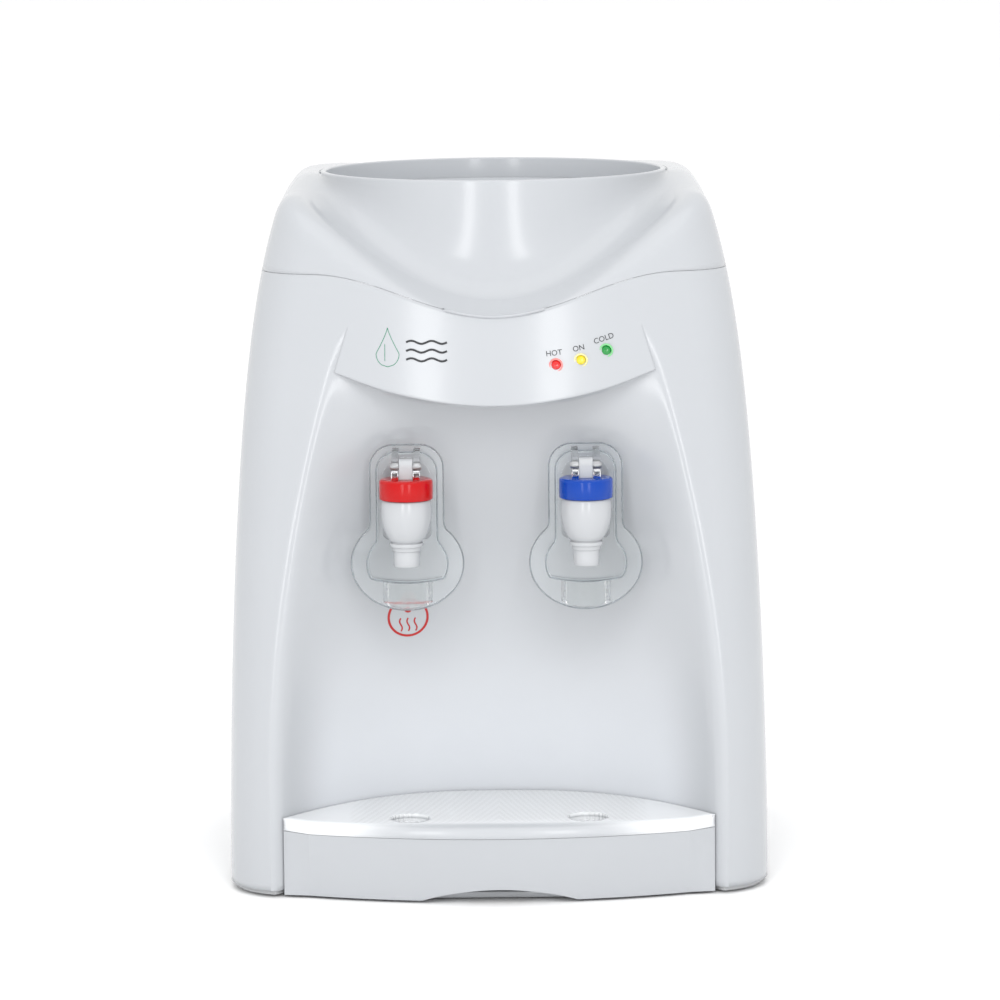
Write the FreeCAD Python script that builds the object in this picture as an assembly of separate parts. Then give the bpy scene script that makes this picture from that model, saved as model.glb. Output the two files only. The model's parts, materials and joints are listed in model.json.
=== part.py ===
"""Countertop water dispenser with lever taps. Millimetres, Z up, front is -Y."""
import FreeCAD, Part
import math
import os
from FreeCAD import Vector

# Overall body
body_width = 295.0
body_height = 386.0
rim_top = 385.6
floor_gap = 1.5
flank_bow = 20.5
crown_draw = 14.4
front_reach = 138.0
front_bow = 58.5
front_radius = 316.0
front_corner = 35.0
rear_corner = 25.0
rear_wall = 134.0
wall = 2.5
split_y = 22.0
seam_gap = 0.4
level_count = 12

# Cup recess and brow
ridge_low = 120.0
ridge_close = 33.2
recess_power = 2.4
brow_radius = 221.0
brow_low = 267.4
brow_reach = 86.5
brow_peak = 316.0
brow_peak_reach = 77.0
flare_radius = 48.0

# Top cover
seam_height = 336.5
seam_dip = 21.5
seam_reach = 98.0
shoulder_top = 383.5
deck_fall = 0.51
deck_start = 37.0
deck_half = 118.0
bottle_y = 30.6
collar_radius = 97.0
socket_radius = 28.5

# Taps and levers
tap_x = 48.2
tap_y = -113.0
inlet_z = 205.0
nozzle_low = 182.0
cap_low = 217.0
cap_top = 228.85
pin_z = 236.0
boss_front = -86.0
boss_back = -64.0
lever_front = -100.0
lever_thick = 2.2
paddle_z = 188.0
paddle_radius = 31.2

# Drip tray
tray_top = 44.0
tray_low = 1.6
tray_seam = 37.0
drain_radius = 10.8

# Tanks and cooler
cold_tank_y = 14.0
cold_tank_radius = 42.0
cold_low = 150.0
cold_high = 255.0
foam_radius = 54.0
hot_x = -62.0
hot_y = 52.0
hot_radius = 42.0
hot_low = 22.0
hot_high = 116.0
fan_z = 200.0
fan_half = 46.0
board_front = -91.6
cold_face = 57.0
tongue_half = 45.0

os.makedirs("parts", exist_ok=True)


def save(name, shape):
    solids = shape.Solids
    if len(solids) == 1:
        shape = solids[0]
    shape.exportStep("parts/" + name + ".step")
    print(name, shape.isValid(), len(solids), round(shape.Volume, 1), flush=True)


def box(x0, x1, y0, y1, z0, z1):
    return Part.makeBox(x1 - x0, y1 - y0, z1 - z0, Vector(x0, y0, z0))


def rod(radius, start, length, axis="z"):
    direction = {"x": Vector(1, 0, 0), "y": Vector(0, 1, 0), "z": Vector(0, 0, 1)}[axis]
    return Part.makeCylinder(radius, length, Vector(*start), direction)


def tube(outer, inner, start, length, axis="z"):
    return rod(outer, start, length, axis).cut(rod(inner, start, length, axis))


def turned(profile, x=0.0, y=0.0):
    """Revolve (radius, z) points about a vertical axis."""
    points = [Vector(r, 0, z) for r, z in profile]
    face = Part.Face(Part.makePolygon(points + [points[0]]))
    solid = face.revolve(Vector(0, 0, 0), Vector(0, 0, 1), 360)
    solid.translate(Vector(x, y, 0))
    return solid


def turned_y(profile, x=0.0, z=0.0):
    """Revolve (radius, y) points about a front-to-back axis."""
    points = [Vector(r, y, 0) for r, y in profile]
    face = Part.Face(Part.makePolygon(points + [points[0]]))
    solid = face.revolve(Vector(0, 0, 0), Vector(0, 1, 0), 360)
    solid.translate(Vector(x, 0, z))
    return solid


def bent_path(points):
    """Straight runs joined by tangent arcs."""
    spots = [Vector(*p) for p in points]
    edges = []
    last = spots[0]
    for before, corner, after in zip(spots, spots[1:], spots[2:]):
        back = (before - corner).normalize()
        ahead = (after - corner).normalize()
        turn = math.pi - back.getAngle(ahead)
        cut = 0.45 * min(before.distanceToPoint(corner), corner.distanceToPoint(after))
        radius = cut / math.tan(turn / 2)
        enter = corner + back * cut
        leave = corner + ahead * cut
        halfway = (back + ahead).normalize()
        middle = corner + halfway * (radius / math.cos(turn / 2) - radius)
        edges.append(Part.makeLine(last, enter))
        edges.append(Part.Arc(enter, middle, leave).toShape())
        last = leave
    edges.append(Part.makeLine(last, spots[-1]))
    return Part.Wire(edges)


def hose(points, outer, inner):
    path = bent_path(points)
    start = Vector(*points[0])
    heading = Vector(*points[1]) - start
    swept = []
    for radius in (outer, inner):
        ring = Part.Wire(Part.makeCircle(radius, start, heading))
        swept.append(path.makePipeShell([ring], True, True))
    return swept[0].cut(swept[1])


# Body skin

def half_width(z):
    part = max(z, 0) / body_height
    return body_width / 2 - flank_bow * part ** 2 - crown_draw * max(part, 0) ** 8


def front_y(z):
    return -(front_reach - front_bow * (z / body_height) ** 2)


def plan_wire(z, inset=0.0):
    """Closed outline of the body at one height."""
    side = half_width(z) - inset
    nose = front_y(z) + inset
    bend = front_radius - inset
    corner = front_corner - inset
    rear = rear_corner - inset
    back = rear_wall - inset
    centre = nose + bend
    corner_x = side - corner
    corner_y = centre - math.sqrt((bend - corner) ** 2 - corner_x ** 2)
    reach = math.hypot(corner_x, corner_y - centre)
    meet_x = corner_x / reach * bend
    meet_y = centre + (corner_y - centre) / reach * bend
    half_turn = math.atan2(meet_y - corner_y, meet_x - corner_x) / 2
    mid_x = corner_x + corner * math.cos(half_turn)
    mid_y = corner_y + corner * math.sin(half_turn)
    quarter = rear * math.sqrt(0.5)

    def at(x, y):
        return Vector(x, y, z)

    def arc(a, b, c):
        return Part.Arc(a, b, c).toShape()

    edges = [
        arc(at(-meet_x, meet_y), at(0, nose), at(meet_x, meet_y)),
        arc(at(meet_x, meet_y), at(mid_x, mid_y), at(side, corner_y)),
        Part.makeLine(at(side, corner_y), at(side, back - rear)),
        arc(at(side, back - rear), at(side - rear + quarter, back - rear + quarter), at(side - rear, back)),
        Part.makeLine(at(side - rear, back), at(rear - side, back)),
        arc(at(rear - side, back), at(rear - side - quarter, back - rear + quarter),
                at(-side, back - rear)),
        Part.makeLine(at(-side, back - rear), at(-side, corner_y)),
        arc(at(-side, corner_y), at(-mid_x, mid_y), at(-meet_x, meet_y)),
    ]
    return Part.Wire(edges)


def body_loft(inset=0.0, below=0):
    """Smooth body through evenly spaced outlines, starting a number of levels below the floor gap."""
    step = (body_height - floor_gap) / level_count
    heights = [floor_gap + step * i for i in range(-below, level_count + 1)]
    return Part.makeLoft([plan_wire(z, inset) for z in heights], True, False)


def ridge(z):
    drawn_in = 0.0045 * max(0.0, min(z, 330.0) - 285.0) ** 2
    return ridge_low - ridge_close * (max(0.0, z - 60) / 235.0) ** 1.9 - drawn_in


def skin_y(x, z):
    return front_y(z) + front_radius - math.sqrt(front_radius ** 2 - x * x)


def recess_y(x, z):
    """Front face of the recess wall: bowed, fading into the skin at the ridges."""
    middle = -39.0 - 47.0 * (z - 44.0) / 223.0 - front_y(z)
    soft = (6.0 - 4.8 * min(1.0, max(0.0, (z - 120.0) / 165.0))) * min(1.0, max(0.1, middle / 14.0))
    raw = middle * (1 - abs(x / ridge(z)) ** recess_power)
    fade = 0.015 * min(60.0, max(0.0, z - 292.0))
    return skin_y(x, z) + (raw + math.sqrt(raw * raw + soft * soft)) / 2 - 0.15 * soft - fade


def recess_sheet(thick=0.0):
    rows = []
    for i in range(41):
        x = -150 + 7.5 * i
        row = []
        for j in range(18):
            z = -30 + 20 * j
            slope_x = (recess_y(x + 0.5, z) - recess_y(x - 0.5, z))
            slope_z = (recess_y(x, z + 0.5) - recess_y(x, z - 0.5))
            push = thick / math.sqrt(1 + slope_x ** 2 + slope_z ** 2)
            row.append(Vector(x - push * slope_x, recess_y(x, z) + push, z - push * slope_z))
        rows.append(row)
    surface = Part.BSplineSurface()
    surface.interpolate(rows)
    return surface.toShape()


def brow_block(thick=0.0):
    """Panel above the recess: bowed lower edge, side edges drawn in towards the top."""
    bend = brow_radius - thick
    reach = brow_reach - thick

    def at(x, z):
        return Vector(x, -400, z)

    def edge_z(x):
        return brow_low + brow_radius - math.sqrt(bend ** 2 - x ** 2)

    peak = brow_peak_reach - thick
    corners = [at(reach, edge_z(reach)), at(peak, brow_peak), at(170, brow_peak), at(170, 500),
            at(-170, 500),
               at(-170, brow_peak), at(-peak, brow_peak), at(-reach, edge_z(reach))]
    edges = [Part.Arc(corners[-1], at(0, edge_z(0)), corners[0]).toShape()]
    edges += [Part.makeLine(a, b) for a, b in zip(corners, corners[1:])]
    return Part.Face(Part.Wire(edges)).extrude(Vector(0, 460, 0))


def recess_tool(thick=0.0):
    return recess_sheet(thick).extrude(Vector(0, -200, 0)).cut(brow_block(thick))


def seam_z(x):
    if abs(x) >= seam_reach:
        return seam_height
    return seam_height - seam_dip * (1 + math.cos(math.pi * x / seam_reach)) / 2


def seam_block(shift, up):
    """Everything above (or below) the seam, dipped at the front only."""
    xs = [-170, -150, -130, -110] + [-98 + 7 * i for i in range(29)] + [110, 130, 150, 170]
    points = [Vector(x, -200, seam_z(x) + shift) for x in xs]
    curve = Part.BSplineCurve()
    curve.interpolate(points)
    far = 500 if up else -50
    edges = [
        curve.toShape(),
        Part.makeLine(points[-1], Vector(170, -200, far)),
        Part.makeLine(Vector(170, -200, far), Vector(-170, -200, far)),
        Part.makeLine(Vector(-170, -200, far), points[0]),
    ]
    return Part.Face(Part.Wire(edges)).extrude(Vector(0, 200 + split_y, 0))


def deck_z(x, y):
    ahead = deck_start - y
    fall = deck_fall * (ahead + math.sqrt(ahead * ahead + 64)) / 2
    return shoulder_top - fall * max(0.0, 1 - (x / deck_half) ** 2)


def deck_block(drop=0.0):
    """Everything above the saddle deck and shoulders."""
    rows = [[Vector(x, y, deck_z(x, y) - drop) for y in range(-150, 171, 16)] for x in range(-117, 118, 13)]
    rows.insert(0, [Vector(-160, p.y, shoulder_top - drop) for p in rows[0]])
    rows.append([Vector(160, p.y, shoulder_top - drop) for p in rows[0]])
    surface = Part.BSplineSurface()
    surface.interpolate(rows)
    return surface.toShape().extrude(Vector(0, 0, 160))


def pillar_points():
    return [(side * (half_width(z) - 6.5), z) for side in (-1, 1) for z in (70.0, 160.0, 300.0)]


def build_skin():
    outer = body_loft()
    solid = outer.cut(recess_tool())
    void = body_loft(wall, 1).cut(recess_tool(wall))
    return outer, solid.cut(void)


def front_housing(outer, skin):
    keep = seam_block(-seam_gap / 2, False)
    shape = skin.common(keep)
    for x, z in pillar_points():
        web = box(min(x, x * 1.05), max(x, x * 1.05), 6, split_y, z - 2, z + 2)
        boss = rod(5.0, (x, 6, z), split_y - 6, "y").fuse(web)
        shape = shape.fuse(boss.common(outer))
        shape = shape.cut(rod(1.55, (x, 9, z), 30, "y"))
    for x in (-tap_x, tap_x):
        shape = shape.fuse(rod(14.0, (x, boss_front, inlet_z), boss_back - boss_front, "y"))
        shape = shape.cut(rod(7.3, (x, boss_front - 5, inlet_z), 60, "y"))
    for x in (29.0, 63.0):  # slotted posts that hold the lamp board
        post = box(x - 2.5, x + 2.5, board_front - 2.0, board_front + 3.6, 266.0, 287.0).cut(recess_tool())
        shape = shape.fuse(post.cut(box(0, 90, board_front - 0.05, board_front + 1.65, 282.95, 300)))
    for x, z in lamp_points():
        shape = shape.cut(rod(2.85, (x, -125, z), 40, "y"))
    gate = tongue_half + 0.4
    return shape.cut(box(-gate, gate, -60, -10, 0, 4.8))


def lamp_points():
    return [(32.7, 288.8), (46.1, 291.1), (59.8, 295.9)]


switch_points = [(72.0, 84.0), (102.0, 84.0)]
gland_point = (98.0, 34.0)
drain_z = 13.0


def rear_housing(outer, skin):
    keep = box(-170, 170, split_y + 0.3, 200, -50, seam_height - seam_gap / 2)
    shape = skin.common(keep)
    for x, z in pillar_points():
        pillar = rod(5.0, (x, split_y + 0.3, z), 120, "y").common(outer)
        shape = shape.fuse(pillar)
        shape = shape.cut(rod(1.7, (x, 10, z), 40, "y"))
        shape = shape.cut(rod(3.4, (x, 32, z), 120, "y"))
    cuts = []
    for ring in range(4):  # fan grille rings
        slot = tube(41.0 - 9 * ring, 36.5 - 9 * ring, (0, 128, fan_z), 12, "y")
        cuts.append(slot.cut(box(-2, 2, 120, 145, 140, 260)).cut(box(-60, 60, 120, 145, fan_z - 2,
                fan_z + 2)))
    for row in range(7):  # upper and lower louvres
        for side in (-1, 1):
            low = 40 if side > 0 else -90
            cuts.append(box(low, low + 50, 128, 140, 262 + 8 * row, 265.5 + 8 * row))
    for row in range(5):
        cuts.append(box(-25, 35, 128, 140, 96 + 8 * row, 99.5 + 8 * row))
    for x, z in switch_points:
        cuts.append(box(x - 6.6, x + 6.6, 128, 140, z - 9.8, z + 9.8))
    cuts.append(rod(7.2, (gland_point[0], 120, gland_point[1]), 30, "y"))
    cuts.append(rod(7.2, (hot_x, 120, drain_z), 30, "y"))
    shape = shape.cut(Part.makeCompound(cuts))
    for x in (-96.0, 96.0):  # spacers that keep the vents off a wall behind
        rib = box(x - 3, x + 3, rear_wall - 1, 138, 190, 250)
        shape = shape.fuse(rib)
    return shape


def collar_flare(outer, above):
    """Concave sweep from the collar down to the front edge, kept to the wall thickness."""
    low = 322.0
    turn = math.radians(62.0)
    high = low + flare_radius * math.sin(turn)
    foot = flare_radius * (1 - math.cos(turn))

    def ring(angle, offset):
        bend = flare_radius + offset
        centre = collar_radius + flare_radius
        return Vector(centre - bend * math.cos(angle), 0, high - bend * math.sin(angle))

    edges = [
        Part.Arc(ring(0, 0), ring(turn / 2, 0), ring(turn, 0)).toShape(),
        Part.makeLine(ring(turn, 0), ring(turn, wall)),
        Part.Arc(ring(turn, wall), ring(turn / 2, wall), ring(0, wall)).toShape(),
        Part.makeLine(ring(0, wall), ring(0, 0)),
    ]
    sweep = Part.Face(Part.Wire(edges)).revolve(Vector(0, 0, 0), Vector(0, 0, 1), 360)
    sweep.translate(Vector(0, bottle_y, 0))
    front = box(-foot - 62, foot + 62, -150, bottle_y - 50, 300, 400)
    return sweep.common(front).common(outer).common(above)


def top_cover(outer):
    above = seam_block(seam_gap / 2, True).fuse(box(-170, 170, split_y, 200, seam_height + seam_gap / 2,
            500))
    solid = outer.common(above).cut(deck_block())
    inner = body_loft(wall).cut(deck_block(wall + 0.3))
    inner = inner.common(box(-170, 170, -150, 150, 200, shoulder_top - wall))
    shell = solid.cut(inner)
    collar = rod(collar_radius, (0, bottle_y, 318), rim_top - 318)
    shell = shell.fuse(collar).fuse(collar_flare(outer, above))
    bowl = turned([(0, 400), (94.0, 400), (94.0, 352), (88.5, 348), (88.5, 343.5), (41.0, 322),
            (41.0, 300), (0, 300)],
                  0, bottle_y)
    under = turned([(41.5, 300), (110, 300), (110, 318.1), (94.3, 339), (90.0, 338.5),
            (41.5, 316.8)], 0, bottle_y)
    shell = shell.cut(bowl).cut(under)
    return shell


def bottle_receiver():
    return turned([
        (93.3, 353.0), (93.3, 374.0), (91.3, 374.0), (91.3, 355.5), (86.0, 350.0), (33.0, 325.0),
                (socket_radius, 320.0),
        (socket_radius, 280.0), (6.6, 278.0), (6.6, 262.0), (9.0, 262.0), (9.0, 275.6), (31.0, 277.6),
                (31.0, 319.0),
        (34.5, 322.8), (87.3, 347.6),
    ], 0, bottle_y)


def feed_spike():
    body = turned([(3.6, 264.0), (6.5, 264.0), (6.5, 278.3), (10.5, 278.9), (10.5, 280.5), (7.5, 282.0),
            (6.2, 330.0),
                   (2.0, 342.0), (0.0, 342.0), (0.0, 338.0), (3.6, 330.0)], 0, bottle_y)
    for k in range(3):
        hole = rod(1.6, (0, bottle_y - 12, 318), 24, "y")
        hole.rotate(Vector(0, bottle_y, 318), Vector(0, 0, 1), 60 * k)
        body = body.cut(hole)
    return body


def tap_body(x):
    outer = turned([
        (0, 182.0), (6.65, 182.0), (6.65, 188.5), (7.6, 188.9), (7.6, 191.3), (8.95, 191.6),
                (8.95, 194.4), (8.0, 195.4),
        (8.3, 197.0), (10.5, 200.0), (12.6, 203.5), (13.8, 207.5), (14.0, 211.0), (13.4, 214.5),
                (12.3, 216.8),
        (11.4, 216.9), (11.4, 220.5), (0, 220.5),
    ], x, tap_y)
    pipe = rod(7.0, (x, tap_y + 6, inlet_z), 51, "y")
    flange = rod(12.5, (x, -89.2, inlet_z), 2.2, "y")
    barb = turned_y([(0, -57), (4.0, -57), (4.0, -46), (4.25, -45.6), (3.6, -43), (0, -43)], x, inlet_z)
    shape = outer.fuse([pipe, flange, barb])
    chamber = rod(8.7, (x, tap_y, 200.0), 25)
    outlet = rod(4.0, (x, tap_y, 175.0), 30)
    supply = rod(2.8, (x, tap_y, inlet_z), 90, "y")
    return shape.cut(chamber).cut(outlet).cut(supply)


def tap_cap(x):
    shape = turned([(2.7, 225.6), (10.0, 225.6), (10.0, 221.0), (11.75, 221.0), (11.75, 217.0),
            (14.1, 217.0), (14.5, 217.6),
                    (14.5, 226.9), (13.9, 228.3), (12.6, cap_top), (2.7, cap_top)], x, tap_y)
    for k in range(24):
        flute = rod(0.9, (x + 15.0, tap_y, 218.4), 8.0)
        flute.rotate(Vector(x, tap_y, 0), Vector(0, 0, 1), 15 * k)
        shape = shape.cut(flute)
    return shape


def stem(x):
    rod_part = rod(2.6, (x, tap_y, 203.0), 27.0)
    head = box(x - 3.6, x + 3.6, tap_y - 4.2, tap_y + 4.2, 229.6, 236.0).fuse(
        rod(4.2, (x - 3.6, tap_y, 236.0), 7.2, "x"))
    return rod_part.fuse(head).cut(rod(1.55, (x - 10, tap_y, pin_z), 20, "x"))


def diaphragm(x):
    return turned([(0, 200.2), (4.6, 200.2), (6.2, 201.4), (6.2, 203.2), (3.6, 204.6), (3.6, 213.0),
            (8.3, 214.4), (8.3, 216.0),
                   (2.65, 216.0), (2.65, 202.9), (0, 202.9)], x, tap_y)


def valve_spring(x):
    """Coil built from short straight facets."""
    low = 216.6
    high = 225.0
    turns = 4.5
    coil = 5.4
    wire = 0.5
    per_turn = 16
    sides = 6
    count = int(turns * per_turn)
    points = []
    for i in range(count + 1):
        angle = 2 * math.pi * i / per_turn
        z = low + (high - low) * i / count
        for k in range(sides):
            bend = 2 * math.pi * k / sides
            r = coil + wire * math.cos(bend)
            points.append(Vector(x + r * math.cos(angle), tap_y + r * math.sin(angle),
                    z + wire * math.sin(bend)))
    facets = []
    for i in range(count):
        for k in range(sides):
            a = i * sides + k
            b = i * sides + (k + 1) % sides
            facets += [(a, a + sides, b), (b, a + sides, b + sides)]
    last = count * sides
    for k in range(1, sides - 1):
        facets += [(0, k, k + 1), (last, last + k + 1, last + k)]
    shape = Part.Shape()
    shape.makeShapeFromMesh((points, facets), 0.001)
    return Part.makeSolid(shape)


def keyhole_wire(x, y, arm, disc, centre_z, top):
    """Outline of a round paddle with a round-topped neck above it."""
    join = centre_z + math.sqrt(disc ** 2 - arm ** 2)
    high = top - arm
    points = [Vector(x - arm, y, join), Vector(x - arm, y, high), Vector(x, y, top),
            Vector(x + arm, y, high),
              Vector(x + arm, y, join), Vector(x, y, centre_z - disc)]
    edges = [
        Part.makeLine(points[0], points[1]),
        Part.Arc(points[1], points[2], points[3]).toShape(),
        Part.makeLine(points[3], points[4]),
        Part.Arc(points[4], points[5], points[0]).toShape(),
    ]
    return Part.Wire(edges)


def lever(x):
    back = lever_front + lever_thick

    def slab(arm, disc, top, y0, y1):
        face = Part.Face(keyhole_wire(x, y0, arm, disc, paddle_z, top))
        return face.extrude(Vector(0, y1 - y0, 0))

    plate = slab(19.7, paddle_radius, 245.0, lever_front, back)
    wall_out = slab(15.6, 22.5, 241.5, lever_front - 3.4, lever_front + 0.5)
    wall_in = slab(13.8, 20.7, 239.7, lever_front - 4.4, lever_front + 0.6)
    shape = plate.fuse(wall_out.cut(wall_in))
    window = slab(13.8, 20.7, 239.7, lever_front - 6, back + 2).common(
        box(x - 14.5, x + 14.5, lever_front - 8, back + 3, 193.4, 250))
    shape = shape.cut(window)
    bib = rod(15.5, (x, lever_front + 8.0, 157.5), 13.5).cut(rod(13.9, (x, lever_front + 8.0, 150), 30))
    bib = bib.common(box(x - 16, x + 16, lever_front - 9, lever_front + 0.3, 150, 175))
    shape = shape.fuse(bib)
    for side in (-1, 1):
        x0 = x + side * 3.9 if side > 0 else x - 7.7
        profile = [Vector(x0, back, 244.4), Vector(x0, -106, 243.8), Vector(x0, tap_y, 241.2),
                Vector(x0, tap_y - 4.9, 237.5),
                   Vector(x0, tap_y - 4.9, 234.5), Vector(x0, tap_y + 1, 230.4),
                           Vector(x0, -104, 234.0), Vector(x0, back, 238.6)]
        arm = Part.Face(Part.makePolygon(profile + [profile[0]])).extrude(Vector(3.8, 0, 0))
        foot = rod(3.0, (x0, tap_y - 6.5, pin_z - 4.0), 3.8, "x")
        shape = shape.fuse(arm).fuse(foot)
    return shape.cut(rod(1.55, (x - 12, tap_y, pin_z), 24, "x"))


def lever_pin(x):
    return rod(1.5, (x - 8.4, tap_y, pin_z), 16.8, "x")


def tap_nut(x):
    points = [Vector(x + 12.4 * math.cos(math.radians(60 * k)),
            boss_back, inlet_z + 12.4 * math.sin(math.radians(60 * k)))
              for k in range(7)]
    nut = Part.Face(Part.makePolygon(points)).extrude(Vector(0, 5.5, 0))
    return nut.cut(rod(7.05, (x, boss_back - 1, inlet_z), 10, "y"))


# Drip tray

def tray_outline(z, inset, back_gap):
    """Crescent between the front curve and the recess wall."""
    nose = -(130.0 + 8.0 * min(1.0, z / 40.0)) + inset
    side = 117.0 - inset
    facet = 103.0 - inset * 0.6
    facet_y = nose + front_radius - math.sqrt(front_radius ** 2 - facet ** 2)
    corner_y = -110.5
    front = [Vector(-facet, facet_y, z), Vector(0, nose, z), Vector(facet, facet_y, z)]
    back = []
    for i in range(17):
        x = side - 2 * side * i / 16
        y = max(recess_y(x, tray_top) - back_gap, corner_y + 0.9 - inset * 0.2)
        back.append(Vector(x, y, z))
    curve = Part.BSplineCurve()
    curve.interpolate(back)
    edges = [
        Part.Arc(*front).toShape(),
        Part.makeLine(front[2], Vector(side, corner_y, z)),
        Part.makeLine(Vector(side, corner_y, z), back[0]),
        curve.toShape(),
        Part.makeLine(back[-1], Vector(-side, corner_y, z)),
        Part.makeLine(Vector(-side, corner_y, z), front[0]),
    ]
    return Part.Wire(edges)


def tray_block(low, high, inset, back_gap):
    return Part.makeLoft([tray_outline(low, inset, back_gap), tray_outline(high, inset, back_gap)], True,
            True)


def drip_tray():
    shell = tray_block(tray_low, tray_seam, 0.0, 1.0)
    basin = tray_block(7.0, tray_seam + 5, 2.2, 3.2)
    shape = shell.cut(basin)
    under = tray_block(tray_low - 2, 4.7, 2.4, 3.4)
    shape = shape.cut(under)
    shape = shape.cut(box(-125, 125, -80, 0, 0, 4.7))
    notch_radius = 141.0
    notch = rod(notch_radius, (0, -150, 8.0 - notch_radius), 40, "y")
    return shape.cut(notch)


def drip_grille():
    plate = tray_block(tray_seam + 0.2, tray_top, 0.0, 1.0)
    under = tray_block(tray_seam - 2, tray_top - 2.4, 2.2, 3.2)
    shape = plate.cut(under)
    rim = tray_block(33.5, tray_top - 2.0, 2.9, 4.1).cut(tray_block(30, tray_top - 2.0, 4.7, 5.9))
    shape = shape.fuse(rim)
    cuts = []
    for row in range(9):
        y = -104.0 + 7.0 * row
        for side in (-1, 1):
            for part in range(3):
                x0 = 5.0 + part * 30.0
                x1 = x0 + 26.0
                drop = 0.32 * (x1 - x0)
                points = [(x0, y), (x1, y - drop), (x1, y - drop + 3.0), (x0, y + 3.0)]
                shifted = [(px, py - 0.32 * (x0 - 5.0)) for px, py in points]
                if slot_clear(shifted):
                    corners = [Vector(side * px, py, 30) for px, py in shifted]
                    face = Part.Face(Part.makePolygon(corners + [corners[0]]))
                    cuts.append(face.extrude(Vector(0, 0, 30)))
    for x in (-tap_x, tap_x):
        cuts.append(rod(drain_radius, (x, tap_y, 20), 40))
    return shape.cut(Part.makeCompound(cuts))


def slot_clear(points):
    for x, y in points:
        if y > recess_y(x, tray_top) - 8.0 or y < skin_y(x, tray_top) + 14.0:
            return False
        if math.hypot(x - tap_x, y - tap_y) < drain_radius + 3.5:
            return False
    return True


# Base

def base_plate():
    plate = body_loft(wall + 0.4, 1).common(box(-170, 170, -150, 150, 1.6, 4.4))
    tool = recess_tool(wall + 0.4)
    legs = plate.cut(tool)
    tongue = plate.common(box(-95.0, 95.0, -116.0, 0, 0, 10))
    tongue = tongue.common(rod(135.0, (0, 20.0, 0), 10))
    tongue = tongue.cut(recess_slot())
    shape = legs.fuse(tongue.fuse(plate.common(box(-tongue_half, tongue_half, -45, 0, 0, 10))))
    for x, y in foot_points():
        shape = shape.cut(rod(3.05, (x, y, 0), 3.0))
    return shape


def recess_slot():
    """Clearance in the plate where the recess wall comes down to the floor."""
    band = recess_sheet(wall + 0.4).extrude(Vector(0, -200, 0)).cut(recess_sheet(-0.4).extrude(Vector(0,
            -200, 0)))
    return band.common(box(-150, 150, -140, 0, -10, 20))


def foot_points():
    return [(-112.0, -60.0), (112.0, -60.0), (-112.0, 105.0), (112.0, 105.0)]


def foot(x, y):
    return turned([(0, 0), (8.4, 0), (9.0, 0.6), (9.0, 1.6), (3.0, 1.6), (3.0, 2.9), (0, 2.9)], x, y)


# Lamps

def lamp(x, z):
    tip = skin_y(x, z) - 1.6
    shape = turned_y([(0, tip), (1.2, tip + 0.15), (2.1, tip + 0.7), (2.7, tip + 1.8),
            (2.75, tip + 2.6), (2.75, tip + 6.2),
                      (0, tip + 6.2)], x, z)
    for side in (-1, 1):
        shape = shape.fuse(box(x + side * 1.27 - 0.25, x + side * 1.27 + 0.25, tip + 6.0, board_front,
                z - 0.25, z + 0.25))
    return shape


def led_board():
    board = box(25.0, 68.0, board_front, board_front + 1.6, 283.0, 301.5)
    plug = box(50.0, 60.0, board_front + 1.6, board_front + 7.6, 287.5, 292.0)
    return board.fuse(plug)


# Tanks and cooler

tank_ports = [(24.0, 10.0), (-26.0, 26.0)]


def inner_frame():
    shelf = box(-54, 54, -36, 66, 143, 144.9)
    posts = [box(-56, -44, -32, -30, 4.5, 143), box(44, 56, -32, -30, 4.5, 143),
            box(-8, 36, 64, 66, 4.5, 143)]
    for x in (-50.0, 50.0):
        posts.append(box(x - 6, x + 6, -32, -20, 4.5, 6.0))
    posts.append(box(-8, 36, 54, 66, 4.5, 6.0))
    frame = shelf.fuse(posts)
    for x, y in tank_ports:
        frame = frame.cut(rod(5.0, (x, y, 140), 10))
    return frame


def cold_tank():
    r = cold_tank_radius
    shape = turned([(0, cold_low), (r - 4, cold_low), (r, cold_low + 4), (r, cold_high - 4),
            (r - 4, cold_high), (0, cold_high),
                    (0, cold_high - 1.2), (r - 4.8, cold_high - 1.2), (r - 1.2, cold_high - 4.6),
                            (r - 1.2, cold_low + 4.6),
                    (r - 4.8, cold_low + 1.2), (0, cold_low + 1.2)], 0, cold_tank_y)
    shape = shape.fuse(box(-20, 20, cold_tank_y + 36, cold_face - 0.05, fan_z - 20,
            fan_z + 20).cut(rod(r - 1.2, (0, cold_tank_y, 170), 60)))
    for (x, y), r in zip(tank_ports, (4.0, 2.6)):
        shape = shape.fuse(rod(r, (x, y, 136.0), 15.0)).cut(rod(r - 1.1, (x, y, 130.0), 25.0))
    shape = shape.fuse(rod(8.0, (0, bottle_y, cold_high - 1.0),
            5.0)).cut(rod(5.0, (0, bottle_y, cold_high - 5), 15.0))
    return shape


def foam_jacket():
    inner = cold_tank_radius + 0.4
    shape = turned([(0, 145.0), (foam_radius, 145.0), (foam_radius, 259.0), (0, 259.0),
            (0, cold_high + 0.3),
                    (inner - 4, cold_high + 0.3), (inner, cold_high - 3.6), (inner, cold_low + 3.6),
                            (inner - 4, cold_low - 0.3),
                    (0, cold_low - 0.3)], 0, cold_tank_y)
    shape = shape.cut(box(-26.5, 26.5, 20, 90, 173.5, 226.5).cut(rod(inner, (0, cold_tank_y, 150), 100)))
    for x, y in tank_ports:
        shape = shape.cut(rod(4.4, (x, y, 130), 25))
    return shape.cut(rod(8.4, (0, bottle_y, 240), 40))


def heat_sink():
    back = cold_face + 12.0
    shape = box(-45, 45, back, back + 4, fan_z - 45, fan_z + 45)
    fins = [box(-45 + 5.9 * k, -45 + 5.9 * k + 1.4, back + 3.9, 95.0, fan_z - 45,
            fan_z + 45) for k in range(16)]
    return shape.fuse(fins)


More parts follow.
